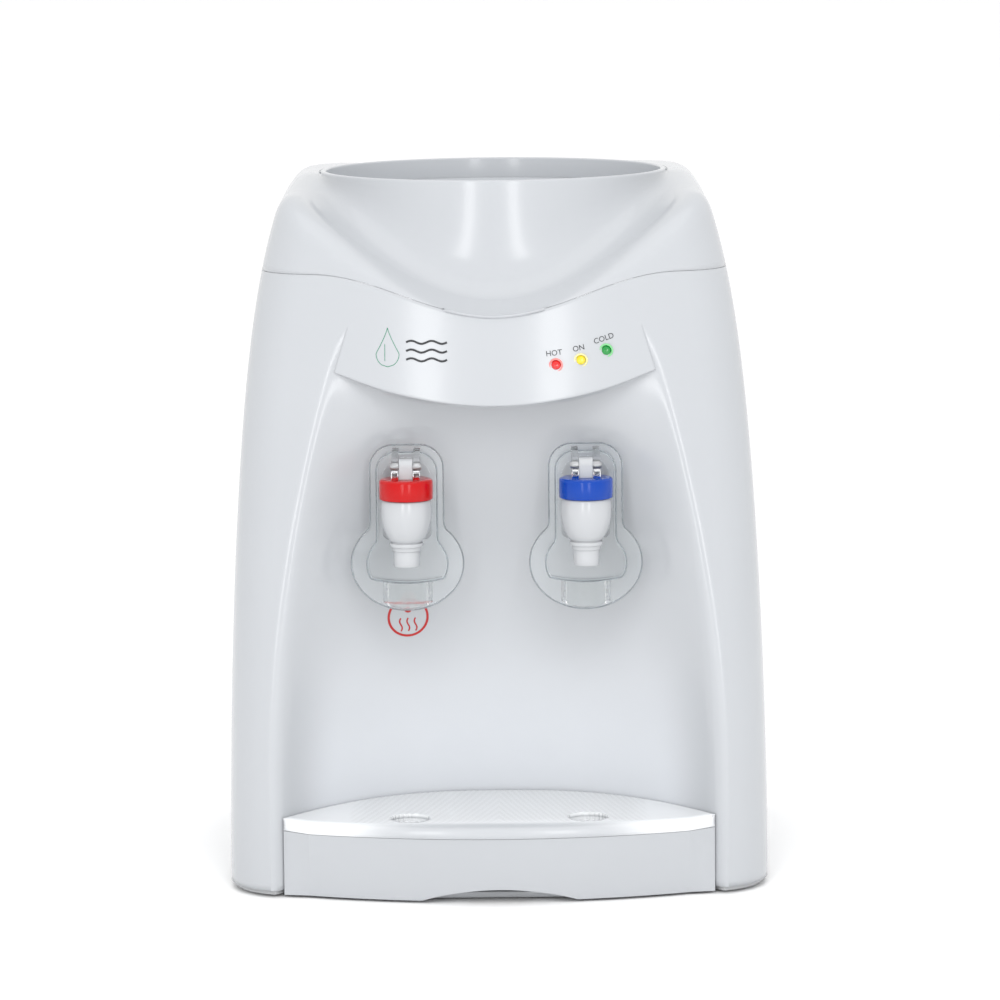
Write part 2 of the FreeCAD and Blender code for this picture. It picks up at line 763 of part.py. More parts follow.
def fan_frame():
    shape = box(-fan_half, fan_half, 96.0, 121.0, fan_z - fan_half, fan_z + fan_half)
    shape = shape.cut(rod(43.5, (0, 90, fan_z), 40, "y"))
    shape = shape.cut(box(-fan_half - 1, fan_half + 1, 99.0, 118.0, fan_z - 60, fan_z + 60).cut(rod(45.0,
            (0, 90, fan_z), 40, "y")))
    hub = rod(17.0, (0, 117.0, fan_z), 3.5, "y")
    struts = [box(-45, 45, 117.5, 120.0, fan_z - 1.5, fan_z + 1.5),
            box(-1.5, 1.5, 117.5, 120.0, fan_z - 45, fan_z + 45)]
    shape = shape.fuse(hub).fuse(struts)
    shape = shape.fuse(rod(2.0, (0, 104.0, fan_z), 14.0, "y"))
    for sx in (-1, 1):
        for sz in (-1, 1):
            shape = shape.cut(rod(2.2, (sx * 41.2, 90, fan_z + sz * 41.2), 40, "y"))
    return shape


def fan_rotor():
    hub = turned_y([(2.06, 99.0), (18.0, 99.0), (19.0, 100.0), (19.0, 115.5), (17.6, 115.5),
            (17.6, 101.5), (4.5, 101.5),
                    (4.5, 114.0), (2.06, 114.0)], 0, fan_z)
    blades = []
    for k in range(7):
        inner = Part.makePolygon([Vector(-7, 100.5, 18.6), Vector(-5, 100.5, 18.6),
                Vector(8, 115, 18.6), Vector(6, 115, 18.6),
                                  Vector(-7, 100.5, 18.6)])
        outer = Part.makePolygon([Vector(-13, 102, 42), Vector(-11.4, 102, 42), Vector(11, 113.5, 42),
                Vector(9.4, 113.5, 42),
                                  Vector(-13, 102, 42)])
        blade = Part.makeLoft([inner, outer], True, True)
        blade.rotate(Vector(0, 0, 0), Vector(0, 1, 0), 360.0 * k / 7)
        blade.translate(Vector(0, 0, fan_z))
        blades.append(blade)
    shape = hub.fuse(blades)
    return shape.common(tube(42.3, 2.06, (0, 95, fan_z), 30, "y"))


def hot_tank():
    r = hot_radius
    shape = turned([(0, hot_low), (r - 5, hot_low), (r, hot_low + 5), (r, hot_high - 5),
            (r - 5, hot_high), (0, hot_high),
                    (0, hot_high - 1.5), (r - 5.8, hot_high - 1.5), (r - 1.5, hot_high - 5.8),
                            (r - 1.5, hot_low + 5.8),
                    (r - 5.8, hot_low + 1.5), (0, hot_low + 1.5)], hot_x, hot_y)
    for x, y, radius in ((hot_x, hot_y, 4.0), (hot_x + 22, hot_y - 8, 2.6)):
        shape = shape.fuse(rod(radius, (x, y, hot_high - 1), 9.0)).cut(rod(radius - 1.1, (x, y,
                hot_high - 5), 20.0))
    for k in range(3):
        angle = math.radians(30 + 120 * k)
        x = hot_x + 34 * math.cos(angle)
        y = hot_y + 34 * math.sin(angle)
        shape = shape.fuse(box(x - 4, x + 4, y - 4, y + 4, 4.5, hot_low + 3).cut(rod(r - 5.2, (hot_x,
                hot_y, hot_low + 1), 3)))
    return shape.cut(rod(3.0, (hot_x, hot_y, hot_low - 2), 5.0))


def heater_band():
    band = tube(hot_radius + 2.3, hot_radius + 0.3, (hot_x, hot_y, 48), 30)
    lug = box(hot_x - 6, hot_x + 6, hot_y - hot_radius - 10, hot_y - hot_radius - 1, 50, 76)
    return band.fuse(lug.cut(rod(hot_radius + 0.3, (hot_x, hot_y, 40), 50))).cut(
        box(hot_x - 1, hot_x + 1, hot_y - 60, hot_y - 38, 40, 90))


def thermostats():
    parts = []
    for dx, dy in ((-16.0, -22.0), (12.0, 26.0)):
        x = hot_x + dx
        y = hot_y + dy
        base = rod(8.0, (x, y, hot_high + 0.2), 4.0)
        cap = rod(6.5, (x, y, hot_high + 4.2), 5.0)
        blade = box(x - 3, x + 3, y - 0.5, y + 0.5, hot_high + 9, hot_high + 15)
        parts.append(base.fuse([cap, blade]))
    return Part.makeCompound(parts)


def power_board():
    shape = box(46, 112, 36, 106, 12.0, 13.6)
    posts = [rod(3.0, (x, y, 4.5), 7.5) for x in (51, 107) for y in (41, 101)]
    parts = [box(52, 76, 60, 84, 13.6, 38), box(82, 100, 70, 96, 13.6, 30), rod(7.0, (90, 52, 13.6),
            22), rod(4.0, (60, 48, 13.6), 14),
             box(64, 80, 92, 102, 13.6, 24)]
    return shape.fuse(posts + parts)


def switch_housing(x, z):
    pocket = box(x - 5.6, x + 5.6, 116.0, 150, z - 8.8, z + 8.8)
    bezel = box(x - 8.5, x + 8.5, 134.0, 135.6, z - 11.5, z + 11.5).cut(pocket)
    case = box(x - 6.4, x + 6.4, 114.0, 134.2, z - 9.6, z + 9.6).cut(pocket)
    tabs = [box(x - 0.4, x + 0.4, 106, 114.2, z + dz - 2.4, z + dz + 2.4) for dz in (-6.0, 0.0, 6.0)]
    saddle = box(x - 5.7, x - 4.4, 116, 129.5, z - 2.5, z + 2.5)
    saddle = saddle.fuse(box(x + 4.4, x + 5.7, 116, 129.5, z - 2.5, z + 2.5))
    shape = bezel.fuse([case, saddle] + tabs)
    return shape.cut(rod(1.06, (x - 6.0, 127.0, z), 12.0, "x"))


def switch_rocker(x, z):
    outline = [(126.0, -7.6), (134.4, -8.0), (132.9, 0.0), (135.8, 7.0), (126.0, 6.8), (123.5, 0.0)]
    points = [Vector(x - 4.2, y, z + rise) for y, rise in outline]
    shape = Part.Face(Part.makePolygon(points + [points[0]])).extrude(Vector(8.4, 0, 0))
    return shape.fuse(rod(1.0, (x - 5.5, 127.0, z), 11.0, "x"))


def cord_gland():
    x, z = gland_point
    shape = turned_y([(3.6, 122.0), (7.0, 122.0), (7.0, 134.2), (10.0, 134.2), (10.0, 136.0),
            (6.6, 138.0), (3.6, 138.0)], x, z)
    nut = tube(10.5, 6.9, (x, 126.5, z), 4.6, "y")
    return shape.fuse(nut)


def drain_outlet():
    shape = rod(4.0, (hot_x, hot_y, drain_z), 66, "y").fuse(rod(7.0, (hot_x, 117, drain_z), 17.1, "y"))
    shape = shape.fuse(rod(4.0, (hot_x, hot_y, drain_z - 4), hot_low - drain_z + 4))
    shape = shape.fuse(rod(9.5, (hot_x, 134.1, drain_z), 1.7, "y"))
    shape = shape.cut(rod(2.9, (hot_x, hot_y, drain_z), 100, "y")).cut(rod(2.9, (hot_x, hot_y, drain_z),
            20))
    return shape.cut(rod(5.06, (hot_x, 122, drain_z), 20, "y"))


def drain_plug():
    return turned_y([(0, 124.0), (5.0, 124.0), (5.0, 135.9), (8.6, 135.9), (8.6, 137.4), (8.0, 138.0),
            (0, 138.0)], hot_x, drain_z)


def housing_screws():
    parts = []
    for x, z in pillar_points():
        parts.append(turned_y([(0, 13.0), (1.5, 13.0), (1.5, 32.0), (3.1, 32.0), (3.1, 34.2),
                (0, 34.2)], x, z))
    return Part.makeCompound(parts)


outer, skin = build_skin()
save("front_housing", front_housing(outer, skin))
save("rear_housing", rear_housing(outer, skin))
save("top_cover", top_cover(outer))
save("base_plate", base_plate())
for name, spot in zip(("front_left", "front_right", "rear_left", "rear_right"), foot_points()):
    save("foot_" + name, foot(*spot))
save("bottle_receiver", bottle_receiver())
save("feed_spike", feed_spike())
save("receiver_seal", Part.makeTorus(8.0, 1.4, Vector(0, bottle_y, 260.55), Vector(0, 0, 1)))
save("drip_tray", drip_tray())
save("drip_grille", drip_grille())
for name, x in (("hot", -tap_x), ("cold", tap_x)):
    save(name + "_tap_body", tap_body(x))
    save(name + "_tap_cap", tap_cap(x))
    save(name + "_stem", stem(x))
    save(name + "_diaphragm", diaphragm(x))
    save(name + "_valve_spring", valve_spring(x))
    save(name + "_lever", lever(x))
    save(name + "_lever_pin", lever_pin(x))
    save(name + "_tap_nut", tap_nut(x))
    save(name + "_tap_gasket", tube(12.0, 7.3, (x, boss_front - 1.0, inlet_z), 1.0, "y"))
for name, spot in zip(("heat", "power", "cool"), lamp_points()):
    save("led_" + name, lamp(*spot))
save("led_board", led_board())
save("inner_frame", inner_frame())
save("cold_tank", cold_tank())
save("foam_jacket", foam_jacket())
save("cold_block", box(-25, 25, cold_face, cold_face + 7.9, fan_z - 25, fan_z + 25))
save("peltier_module", box(-20, 20, cold_face + 8.0, cold_face + 11.9, fan_z - 20, fan_z + 20))
save("heat_sink", heat_sink())
save("fan_frame", fan_frame())
save("fan_rotor", fan_rotor())
save("hot_tank", hot_tank())
save("heater_band", heater_band())
save("thermostats", thermostats())
save("power_board", power_board())
for name, spot in zip(("heat", "cool"), switch_points):
    save(name + "_switch_housing", switch_housing(*spot))
    save(name + "_switch_rocker", switch_rocker(*spot))
save("cord_gland", cord_gland())
save("drain_outlet", drain_outlet())
save("drain_plug", drain_plug())
save("hot_hose", hose([(hot_x, hot_y, 117), (hot_x, hot_y, 140), (-92, 34, 160), (-84, -8, 186),
        (-tap_x, -34, 205),
                       (-tap_x, -54, 205)], 6.6, 4.3))
save("cold_hose", hose([(24, 10, 142.5), (24, 10, 122), (44, 0, 108), (74, -12, 128), (78, -20, 178),
        (tap_x, -34, 205),
                        (tap_x, -54, 205)], 6.6, 4.3))
save("fill_hose", hose([(-26, 26, 142.5), (-26, 26, 129), (hot_x + 22, hot_y - 8, 131),
        (hot_x + 22, hot_y - 8, 117.5)], 4.0, 2.9))
save("housing_screws", housing_screws())
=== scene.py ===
import json
import math
import bpy
import bmesh
from mathutils import Vector, Matrix


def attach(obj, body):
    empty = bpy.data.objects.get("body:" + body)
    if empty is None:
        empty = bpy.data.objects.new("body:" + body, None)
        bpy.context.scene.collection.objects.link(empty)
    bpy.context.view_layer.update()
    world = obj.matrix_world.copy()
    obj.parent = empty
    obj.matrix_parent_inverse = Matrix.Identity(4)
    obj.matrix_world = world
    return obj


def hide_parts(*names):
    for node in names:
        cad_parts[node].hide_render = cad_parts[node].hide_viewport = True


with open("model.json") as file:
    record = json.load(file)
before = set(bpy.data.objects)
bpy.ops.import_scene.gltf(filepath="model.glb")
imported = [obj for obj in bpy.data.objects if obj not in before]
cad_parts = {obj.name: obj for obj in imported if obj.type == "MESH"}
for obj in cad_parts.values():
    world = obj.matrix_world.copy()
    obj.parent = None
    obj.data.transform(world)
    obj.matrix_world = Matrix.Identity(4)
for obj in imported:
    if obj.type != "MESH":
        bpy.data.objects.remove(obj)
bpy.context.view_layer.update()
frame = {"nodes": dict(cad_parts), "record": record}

nodes = frame["nodes"]
scene = bpy.context.scene

# shared shape of the body, metres
body = {
    "width": 0.295, "height": 0.386, "rimTop": 0.3856, "floorGap": 0.0015,
    "flankBow": 0.0205, "crownDraw": 0.0144, "frontReach": 0.138, "frontBow": 0.0585,
    "frontRadius": 0.316, "frontCorner": 0.035, "rearCorner": 0.025, "rearWall": 0.134,
    "wall": 0.0025, "splitY": 0.022, "ridgeLow": 0.120, "ridgeClose": 0.0332,
    "browRadius": 0.221, "browLow": 0.2674, "seamHeight": 0.3365, "seamDip": 0.0215, "seamReach": 0.098,
    "browReach": 0.0865, "browPeak": 0.316, "browPeakReach": 0.077,
}


def newMaterial(name, color, roughness, metallic=0.0, coat=0.0, specular=0.5):
    mat = bpy.data.materials.new(name)
    mat.use_nodes = True
    shader = mat.node_tree.nodes["Principled BSDF"]
    shader.inputs["Base Color"].default_value = (*color, 1.0)
    shader.inputs["Roughness"].default_value = roughness
    shader.inputs["Metallic"].default_value = metallic
    shader.inputs["Coat Weight"].default_value = coat
    shader.inputs["Coat Roughness"].default_value = 0.12
    shader.inputs["Specular IOR Level"].default_value = specular
    return mat, mat.node_tree, shader


# colour drift, uneven gloss and a small grain
def addNoise(tree, shader, scale, low, high, colorA, colorB, bump=0.0, bumpDistance=0.0002, fine=None):
    coords = tree.nodes.new("ShaderNodeTexCoord")
    noise = tree.nodes.new("ShaderNodeTexNoise")
    noise.inputs["Scale"].default_value = scale
    noise.inputs["Detail"].default_value = 4.0
    tree.links.new(coords.outputs["Object"], noise.inputs["Vector"])
    ramp = tree.nodes.new("ShaderNodeValToRGB")
    ramp.color_ramp.elements[0].color = (*colorA, 1.0)
    ramp.color_ramp.elements[1].color = (*colorB, 1.0)
    ramp.color_ramp.elements[0].position = 0.3
    ramp.color_ramp.elements[1].position = 0.7
    tree.links.new(noise.outputs["Fac"], ramp.inputs["Fac"])
    tree.links.new(ramp.outputs["Color"], shader.inputs["Base Color"])
    spread = tree.nodes.new("ShaderNodeMapRange")
    spread.inputs["To Min"].default_value = low
    spread.inputs["To Max"].default_value = high
    tree.links.new(noise.outputs["Fac"], spread.inputs["Value"])
    tree.links.new(spread.outputs["Result"], shader.inputs["Roughness"])
    if bump:
        grain = tree.nodes.new("ShaderNodeTexNoise")
        grain.inputs["Scale"].default_value = fine or scale * 20
        grain.inputs["Detail"].default_value = 2.0
        tree.links.new(coords.outputs["Object"], grain.inputs["Vector"])
        height = tree.nodes.new("ShaderNodeBump")
        height.inputs["Strength"].default_value = bump
        height.inputs["Distance"].default_value = bumpDistance
        tree.links.new(grain.outputs["Fac"], height.inputs["Height"])
        tree.links.new(height.outputs["Normal"], shader.inputs["Normal"])


def shade(color, factor):
    return tuple(min(1.0, c * factor) for c in color)


def makePlastic(name, color, roughness=0.25, coat=0.3, drift=0.02, bump=0.05, fine=900.0):
    mat, tree, shader = newMaterial(name, color, roughness, coat=coat)
    addNoise(tree, shader, 14.0, roughness * 0.88, roughness * 1.14, shade(color, 1 - drift),
            shade(color, 1 + drift), bump, 0.00008, fine)
    return mat


finish = {
    "shellWhite": makePlastic("shellWhite", (0.425, 0.44, 0.462), 0.2, 0.25, 0.006, 0.03, 700.0),
    "receiverWhite": makePlastic("receiverWhite", (0.50, 0.517, 0.54), 0.3, 0.2),
    "baseGrey": makePlastic("baseGrey", (0.42, 0.43, 0.44), 0.5, 0.0, 0.04, 0.25, 1400.0),
    "footRubber": makePlastic("footRubber", (0.025, 0.025, 0.026), 0.75, 0.0, 0.1, 0.4, 1600.0),
    "sealSilicone": makePlastic("sealSilicone", (0.62, 0.62, 0.6), 0.45, 0.0, 0.03, 0.1),
    "spikeWhite": makePlastic("spikeWhite", (0.8, 0.81, 0.83), 0.3, 0.1),
    "tapWhite": makePlastic("tapWhite", (0.43, 0.442, 0.46), 0.2, 0.3, 0.01, 0.03),
    "capRed": makePlastic("capRed", (0.44, 0.0, 0.001), 0.2, 0.25, 0.03, 0.03),
    "capBlue": makePlastic("capBlue", (0.0, 0.045, 0.33), 0.2, 0.25, 0.03, 0.03),
    "foamGrey": makePlastic("foamGrey", (0.03, 0.03, 0.032), 0.85, 0.0, 0.15, 0.8, 700.0),
    "moduleWhite": makePlastic("moduleWhite", (0.8, 0.8, 0.78), 0.6, 0.0),
    "fanBlack": makePlastic("fanBlack", (0.018, 0.018, 0.019), 0.42, 0.0, 0.08, 0.2, 1500.0),
    "rockerRed": makePlastic("rockerRed", (0.5, 0.01, 0.01), 0.25, 0.3),
    "rockerGreen": makePlastic("rockerGreen", (0.01, 0.3, 0.06), 0.25, 0.3),
    "hoseSilicone": makePlastic("hoseSilicone", (0.7, 0.68, 0.62), 0.35, 0.1),
    "drainWhite": makePlastic("drainWhite", (0.74, 0.75, 0.76), 0.3, 0.1),
}
for cap in ("capRed", "capBlue"):
    finish[cap].node_tree.nodes["Principled BSDF"].inputs["Specular IOR Level"].default_value = 0.2


def makeMetal(name, color, roughness, stretch):
    mat, tree, shader = newMaterial(name, color, roughness, metallic=1.0)
    coords = tree.nodes.new("ShaderNodeTexCoord")
    mapping = tree.nodes.new("ShaderNodeMapping")
    mapping.inputs["Scale"].default_value = stretch
    noise = tree.nodes.new("ShaderNodeTexNoise")
    noise.inputs["Scale"].default_value = 60.0
    noise.inputs["Detail"].default_value = 5.0
    spread = tree.nodes.new("ShaderNodeMapRange")
    spread.inputs["To Min"].default_value = roughness * 0.7
    spread.inputs["To Max"].default_value = roughness * 1.4
    tree.links.new(coords.outputs["Object"], mapping.inputs["Vector"])
    tree.links.new(mapping.outputs["Vector"], noise.inputs["Vector"])
    tree.links.new(noise.outputs["Fac"], spread.inputs["Value"])
    tree.links.new(spread.outputs["Result"], shader.inputs["Roughness"])
    height = tree.nodes.new("ShaderNodeBump")
    height.inputs["Strength"].default_value = 0.08
    height.inputs["Distance"].default_value = 0.0001
    tree.links.new(noise.outputs["Fac"], height.inputs["Height"])
    tree.links.new(height.outputs["Normal"], shader.inputs["Normal"])
    return mat


def paintRecessLight(mat, paintedLight, front, back):  # paler low in the recess, in place of bounced light
    tree = mat.node_tree
    shader = tree.nodes["Principled BSDF"]
    coords = tree.nodes.new("ShaderNodeTexCoord")
    split = tree.nodes.new("ShaderNodeSeparateXYZ")
    tree.links.new(coords.outputs["Object"], split.inputs[0])
    away = tree.nodes.new("ShaderNodeMath")
    away.operation = "ABSOLUTE"
    tree.links.new(split.outputs[0], away.inputs[0])
    mask = None
    for source, start, end in ((away.outputs[0], 0.122, 0.112), (split.outputs[1], front, back),
            (split.outputs[2], 0.170, 0.055)):
        spread = tree.nodes.new("ShaderNodeMapRange")
        spread.interpolation_type = "SMOOTHSTEP"
        spread.inputs["From Min"].default_value = start
        spread.inputs["From Max"].default_value = end
        tree.links.new(source, spread.inputs["Value"])
        if mask is None:
            mask = spread.outputs[0]
        else:
            both = tree.nodes.new("ShaderNodeMath")
            both.operation = "MULTIPLY"
            tree.links.new(mask, both.inputs[0])
            tree.links.new(spread.outputs[0], both.inputs[1])
            mask = both.outputs[0]
    base = shader.inputs["Base Color"].links[0].from_socket
    mix = tree.nodes.new("ShaderNodeMix")
    mix.data_type = "RGBA"
    tree.links.new(mask, mix.inputs[0])
    tree.links.new(base, mix.inputs[6])
    mix.inputs[7].default_value = (*paintedLight, 1.0)
    tree.links.new(mix.outputs[2], shader.inputs["Base Color"])


# painted light: the shell is paler low and deep in the recess, in place of bounced light
paintRecessLight(finish["shellWhite"], (0.60, 0.62, 0.65), -0.105, -0.075)
finish["pinSteel"] = makeMetal("pinSteel", (0.50, 0.50, 0.51), 0.5, (1.0, 14.0, 14.0))
finish["sinkAluminium"] = makeMetal("sinkAluminium", (0.75, 0.76, 0.77), 0.35, (1.0, 1.0, 10.0))


def makeClear(name):
    mat, tree, shader = newMaterial(name, (0.96, 0.98, 0.985), 0.04)
    shader.inputs["Transmission Weight"].default_value = 1.0
    shader.inputs["IOR"].default_value = 1.49
    coords = tree.nodes.new("ShaderNodeTexCoord")
    noise = tree.nodes.new("ShaderNodeTexNoise")
    noise.inputs["Scale"].default_value = 35.0
    noise.inputs["Detail"].default_value = 3.0
    spread = tree.nodes.new("ShaderNodeMapRange")
    spread.inputs["To Min"].default_value = 0.02
    spread.inputs["To Max"].default_value = 0.08
    tree.links.new(coords.outputs["Object"], noise.inputs["Vector"])
    tree.links.new(noise.outputs["Fac"], spread.inputs["Value"])
    tree.links.new(spread.outputs["Result"], shader.inputs["Roughness"])
    height = tree.nodes.new("ShaderNodeBump")
    height.inputs["Strength"].default_value = 0.05
    height.inputs["Distance"].default_value = 0.0003
    tree.links.new(noise.outputs["Fac"], height.inputs["Height"])
    tree.links.new(height.outputs["Normal"], shader.inputs["Normal"])
    return mat


finish["leverClear"] = makeClear("leverClear")


def makeLens(name, color, glow):
    mat, tree, shader = newMaterial(name, color, 0.12, coat=0.6)
    shader.inputs["Emission Color"].default_value = (*color, 1.0)
    shader.inputs["Emission Strength"].default_value = glow
    addNoise(tree, shader, 300.0, 0.08, 0.18, shade(color, 0.85), shade(color, 1.1), 0.1, 0.0001, 2000.0)
    return mat


finish["lampRed"] = makeLens("lampRed", (0.55, 0.008, 0.008), 0.15)
finish["lampYellow"] = makeLens("lampYellow", (0.66, 0.54, 0.02), 0.08)
finish["lampGreen"] = makeLens("lampGreen", (0.0, 0.22, 0.03), 0.1)


def makeInk(name, color):
    return makePlastic(name, color, 0.4, 0.0, 0.05, 0.0)


finish["inkDark"] = makeInk("inkDark", (0.02, 0.021, 0.024))
finish["inkGreen"] = makeInk("inkGreen", (0.02, 0.22, 0.12))
finish["inkRed"] = makeInk("inkRed", (0.42, 0.01, 0.01))
# painted glow: pale tinted halos for the rings round the lamps, standing in for the lamps' light spilling onto
# them
finish["glowRed"] = makeLens("glowRed", (0.78, 0.22, 0.20), 0.1)
finish["glowYellow"] = makeLens("glowYellow", (0.72, 0.66, 0.30), 0.1)
finish["glowGreen"] = makeLens("glowGreen", (0.18, 0.55, 0.22), 0.1)


def makeShadedEdge(name):  # moulded clear edge, painted grey as shade for the darker look light gives it through its thickness
    mat, tree, shader = newMaterial(name, (0.50, 0.54, 0.57), 0.12, coat=0.6)
    shader.inputs["Transmission Weight"].default_value = 0.8
    shader.inputs["IOR"].default_value = 1.25
    addNoise(tree, shader, 40.0, 0.08, 0.18, (0.48, 0.52, 0.55), (0.54, 0.58, 0.61), 0.03, 0.0001, 600.0)
    return mat


finish["leverEdgeShade"] = makeShadedEdge("leverEdgeShade")


def makeLid(name):  # tray lid with a chevron relief in the middle
    mat = makePlastic(name, (0.45, 0.465, 0.487), 0.22, 0.2, 0.006, 0.0)
    # painted light: the lid is paler behind its front edge, in place of bounced light
    paintRecessLight(mat, (0.76, 0.775, 0.79), -0.134, -0.124)
    tree = mat.node_tree
    shader = tree.nodes["Principled BSDF"]

    def combine(kind, a, b=0.0):
        node = tree.nodes.new("ShaderNodeMath")
        node.operation = kind
        for slot, value in ((0, a), (1, b)):
            if isinstance(value, float):
                node.inputs[slot].default_value = value
            else:
                tree.links.new(value, node.inputs[slot])
        return node.outputs[0]

    coords = tree.nodes.new("ShaderNodeTexCoord")
    split = tree.nodes.new("ShaderNodeSeparateXYZ")
    tree.links.new(coords.outputs["Object"], split.inputs[0])
    away = combine("ABSOLUTE", split.outputs[0])
    wave = combine("SINE", combine("MULTIPLY", combine("SUBTRACT", split.outputs[1],
            combine("MULTIPLY", away, 0.9)), 1950.0))
    side = tree.nodes.new("ShaderNodeMapRange")
    side.inputs["From Min"].default_value = 0.082
    side.inputs["From Max"].default_value = 0.070
    tree.links.new(away, side.inputs["Value"])
    deep = tree.nodes.new("ShaderNodeMapRange")
    deep.inputs["From Min"].default_value = -0.126
    deep.inputs["From Max"].default_value = -0.116
    tree.links.new(split.outputs[1], deep.inputs["Value"])
    height = tree.nodes.new("ShaderNodeBump")
    height.inputs["Strength"].default_value = 0.55
    height.inputs["Distance"].default_value = 0.0006
    tree.links.new(combine("MULTIPLY", wave, combine("MULTIPLY", side.outputs[0], deep.outputs[0])),
            height.inputs["Height"])
    tree.links.new(height.outputs["Normal"], shader.inputs["Normal"])
    return mat


finish["lidWhite"] = makeLid("lidWhite")


def makeBoard(name):
    mat, tree, shader = newMaterial(name, (0.02, 0.16, 0.07), 0.4)
    coords = tree.nodes.new("ShaderNodeTexCoord")
    tracks = tree.nodes.new("ShaderNodeTexBrick")
    tracks.inputs["Scale"].default_value = 160.0
    tracks.inputs["Color1"].default_value = (0.02, 0.16, 0.07, 1.0)
    tracks.inputs["Color2"].default_value = (0.025, 0.2, 0.085, 1.0)
    tracks.inputs["Mortar"].default_value = (0.10, 0.30, 0.12, 1.0)
    tree.links.new(coords.outputs["Object"], tracks.inputs["Vector"])
    tree.links.new(tracks.outputs["Color"], shader.inputs["Base Color"])
    return mat


finish["boardGreen"] = makeBoard("boardGreen")

slotFinish = {
    "shell_white": "shellWhite", "receiver_white": "receiverWhite", "base_grey": "baseGrey",
    "foot_rubber": "footRubber",
    "seal_silicone": "sealSilicone", "spike_white": "spikeWhite", "tap_white": "tapWhite",
    "cap_red": "capRed",
    "cap_blue": "capBlue", "lever_clear": "leverClear", "pin_steel": "pinSteel", "lamp_red": "lampRed",
    "lamp_yellow": "lampYellow", "lamp_green": "lampGreen", "board_green": "boardGreen",
    "foam_grey": "foamGrey",
    "sink_aluminium": "sinkAluminium", "module_white": "moduleWhite", "fan_black": "fanBlack",
    "rocker_red": "rockerRed",
    "rocker_green": "rockerGreen", "hose_silicone": "hoseSilicone", "drain_white": "drainWhite",
}
for part in frame["record"]["subparts"]:
    target = nodes[part["node"]]
    target.data.materials.clear()
    target.data.materials.append(finish[slotFinish[part["material_slot"]]])
print("materials ready")


def halfWidth(z):
    part = max(z, 0.0) / body["height"]
    return body["width"] / 2 - body["flankBow"] * part ** 2 - body["crownDraw"] * part ** 8


def frontY(z):
    return -(body["frontReach"] - body["frontBow"] * (z / body["height"]) ** 2)


def skinY(x, z):
    r = body["frontRadius"]
    return frontY(z) + r - math.sqrt(max(0.0, r * r - x * x))


def cornerSpot(z, inset=0.0):  # centre of the front corner, and where it meets the front curve
    side = halfWidth(z) - inset
    bend = body["frontRadius"] - inset
    corner = body["frontCorner"] - inset
    middle = frontY(z) + inset + bend
    cx = side - corner
    cy = middle - math.sqrt((bend - corner) ** 2 - cx ** 2)
    reach = math.hypot(cx, cy - middle)
    return cx, cy, cx / reach * bend, middle + (cy - middle) / reach * bend, corner


def ridgeX(z):
    drawnIn = 4.5 * max(0.0, min(z, 0.330) - 0.285) ** 2
    return body["ridgeLow"] - body["ridgeClose"] * (max(0.0, z - 0.060) / 0.235) ** 1.9 - drawnIn


def recessDepth(x, z):
    if z >= body["browPeak"]:
        return 0.0
    middle = (-0.039 - 0.047 * (z - 0.044) / 0.223) - frontY(z)
    soft = (0.006 - 0.0048 * min(1.0, max(0.0, (z - 0.120) / 0.165))) * min(1.0, max(0.1, middle / 0.014))
    raw = middle * (1 - abs(x / ridgeX(z)) ** 2.4)
    fade = 0.015 * min(0.060, max(0.0, z - 0.292))
    return max(0.0, (raw + math.sqrt(raw * raw + soft * soft)) / 2 - 0.15 * soft - fade)


def browZ(x):
    r = body["browRadius"]
    reach = min(abs(x), 0.125)
    return body["browLow"] + r - math.sqrt(r * r - reach * reach)


def seamZ(x):
    if abs(x) >= body["seamReach"]:
        return body["seamHeight"]
    return body["seamHeight"] - body["seamDip"] * (1 + math.cos(math.pi * x / body["seamReach"])) / 2


def addPiece(name, shape, finishName, rideOn, smooth=True):
    mesh = bpy.data.meshes.new(name)
    shape.to_mesh(mesh)
    shape.free()
    piece = bpy.data.objects.new(name, mesh)
    scene.collection.objects.link(piece)
    mesh.materials.append(finish[finishName])
    if smooth:
        mesh.polygons.foreach_set("use_smooth", [True] * len(mesh.polygons))
    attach(piece, rideOn)
    return piece


def thicken(piece, thickness):
    shell = piece.modifiers.new("thickness", "SOLIDIFY")
    shell.thickness = thickness
    shell.offset = -1.0


def sheetFrom(profiles, closed):  # a grid whose points are moved onto a list of profile lines
    columns = len(profiles) - 1
    rows = len(profiles[0]) - 1
    shape = bmesh.new()
    bmesh.ops.create_grid(shape, x_segments=columns, y_segments=rows, size=1.0)
    for point in shape.verts:
        i = round((point.co.x + 1) / 2 * columns)
        j = round((point.co.y + 1) / 2 * rows)
        point.co = profiles[i][j]
    if closed:
        bmesh.ops.remove_doubles(shape, verts=shape.verts, dist=1e-6)
    return shape


def bend(a, b, c, count):  # points along a round corner, from a to c around b
    points = []
    for k in range(1, count + 1):
        t = k / count
        points.append(a * (1 - t) ** 2 + b * (2 * t * (1 - t)) + c * t ** 2)
    return points


frontShell = {"innerColumns": 44, "stripColumns": 10, "shoulderColumns": 14, "cornerColumns": 12,
        "sideColumns": 6,
              "wallRows": 84, "ceilingRows": 6, "filletRows": 7, "upperRows": 26, "lip": 0.0019,
              "fillet": 0.005,
              "seamGap": 0.00009, "legLift": 0.0027}


def browEdge(z):  # side edge of the panel above the recess, drawn in towards its top
    low = browZ(body["browReach"])
    t = min(1.0, max(0.0, (z - low) / (body["browPeak"] - low)))
    return body["browReach"] + (body["browPeakReach"] - body["browReach"]) * t


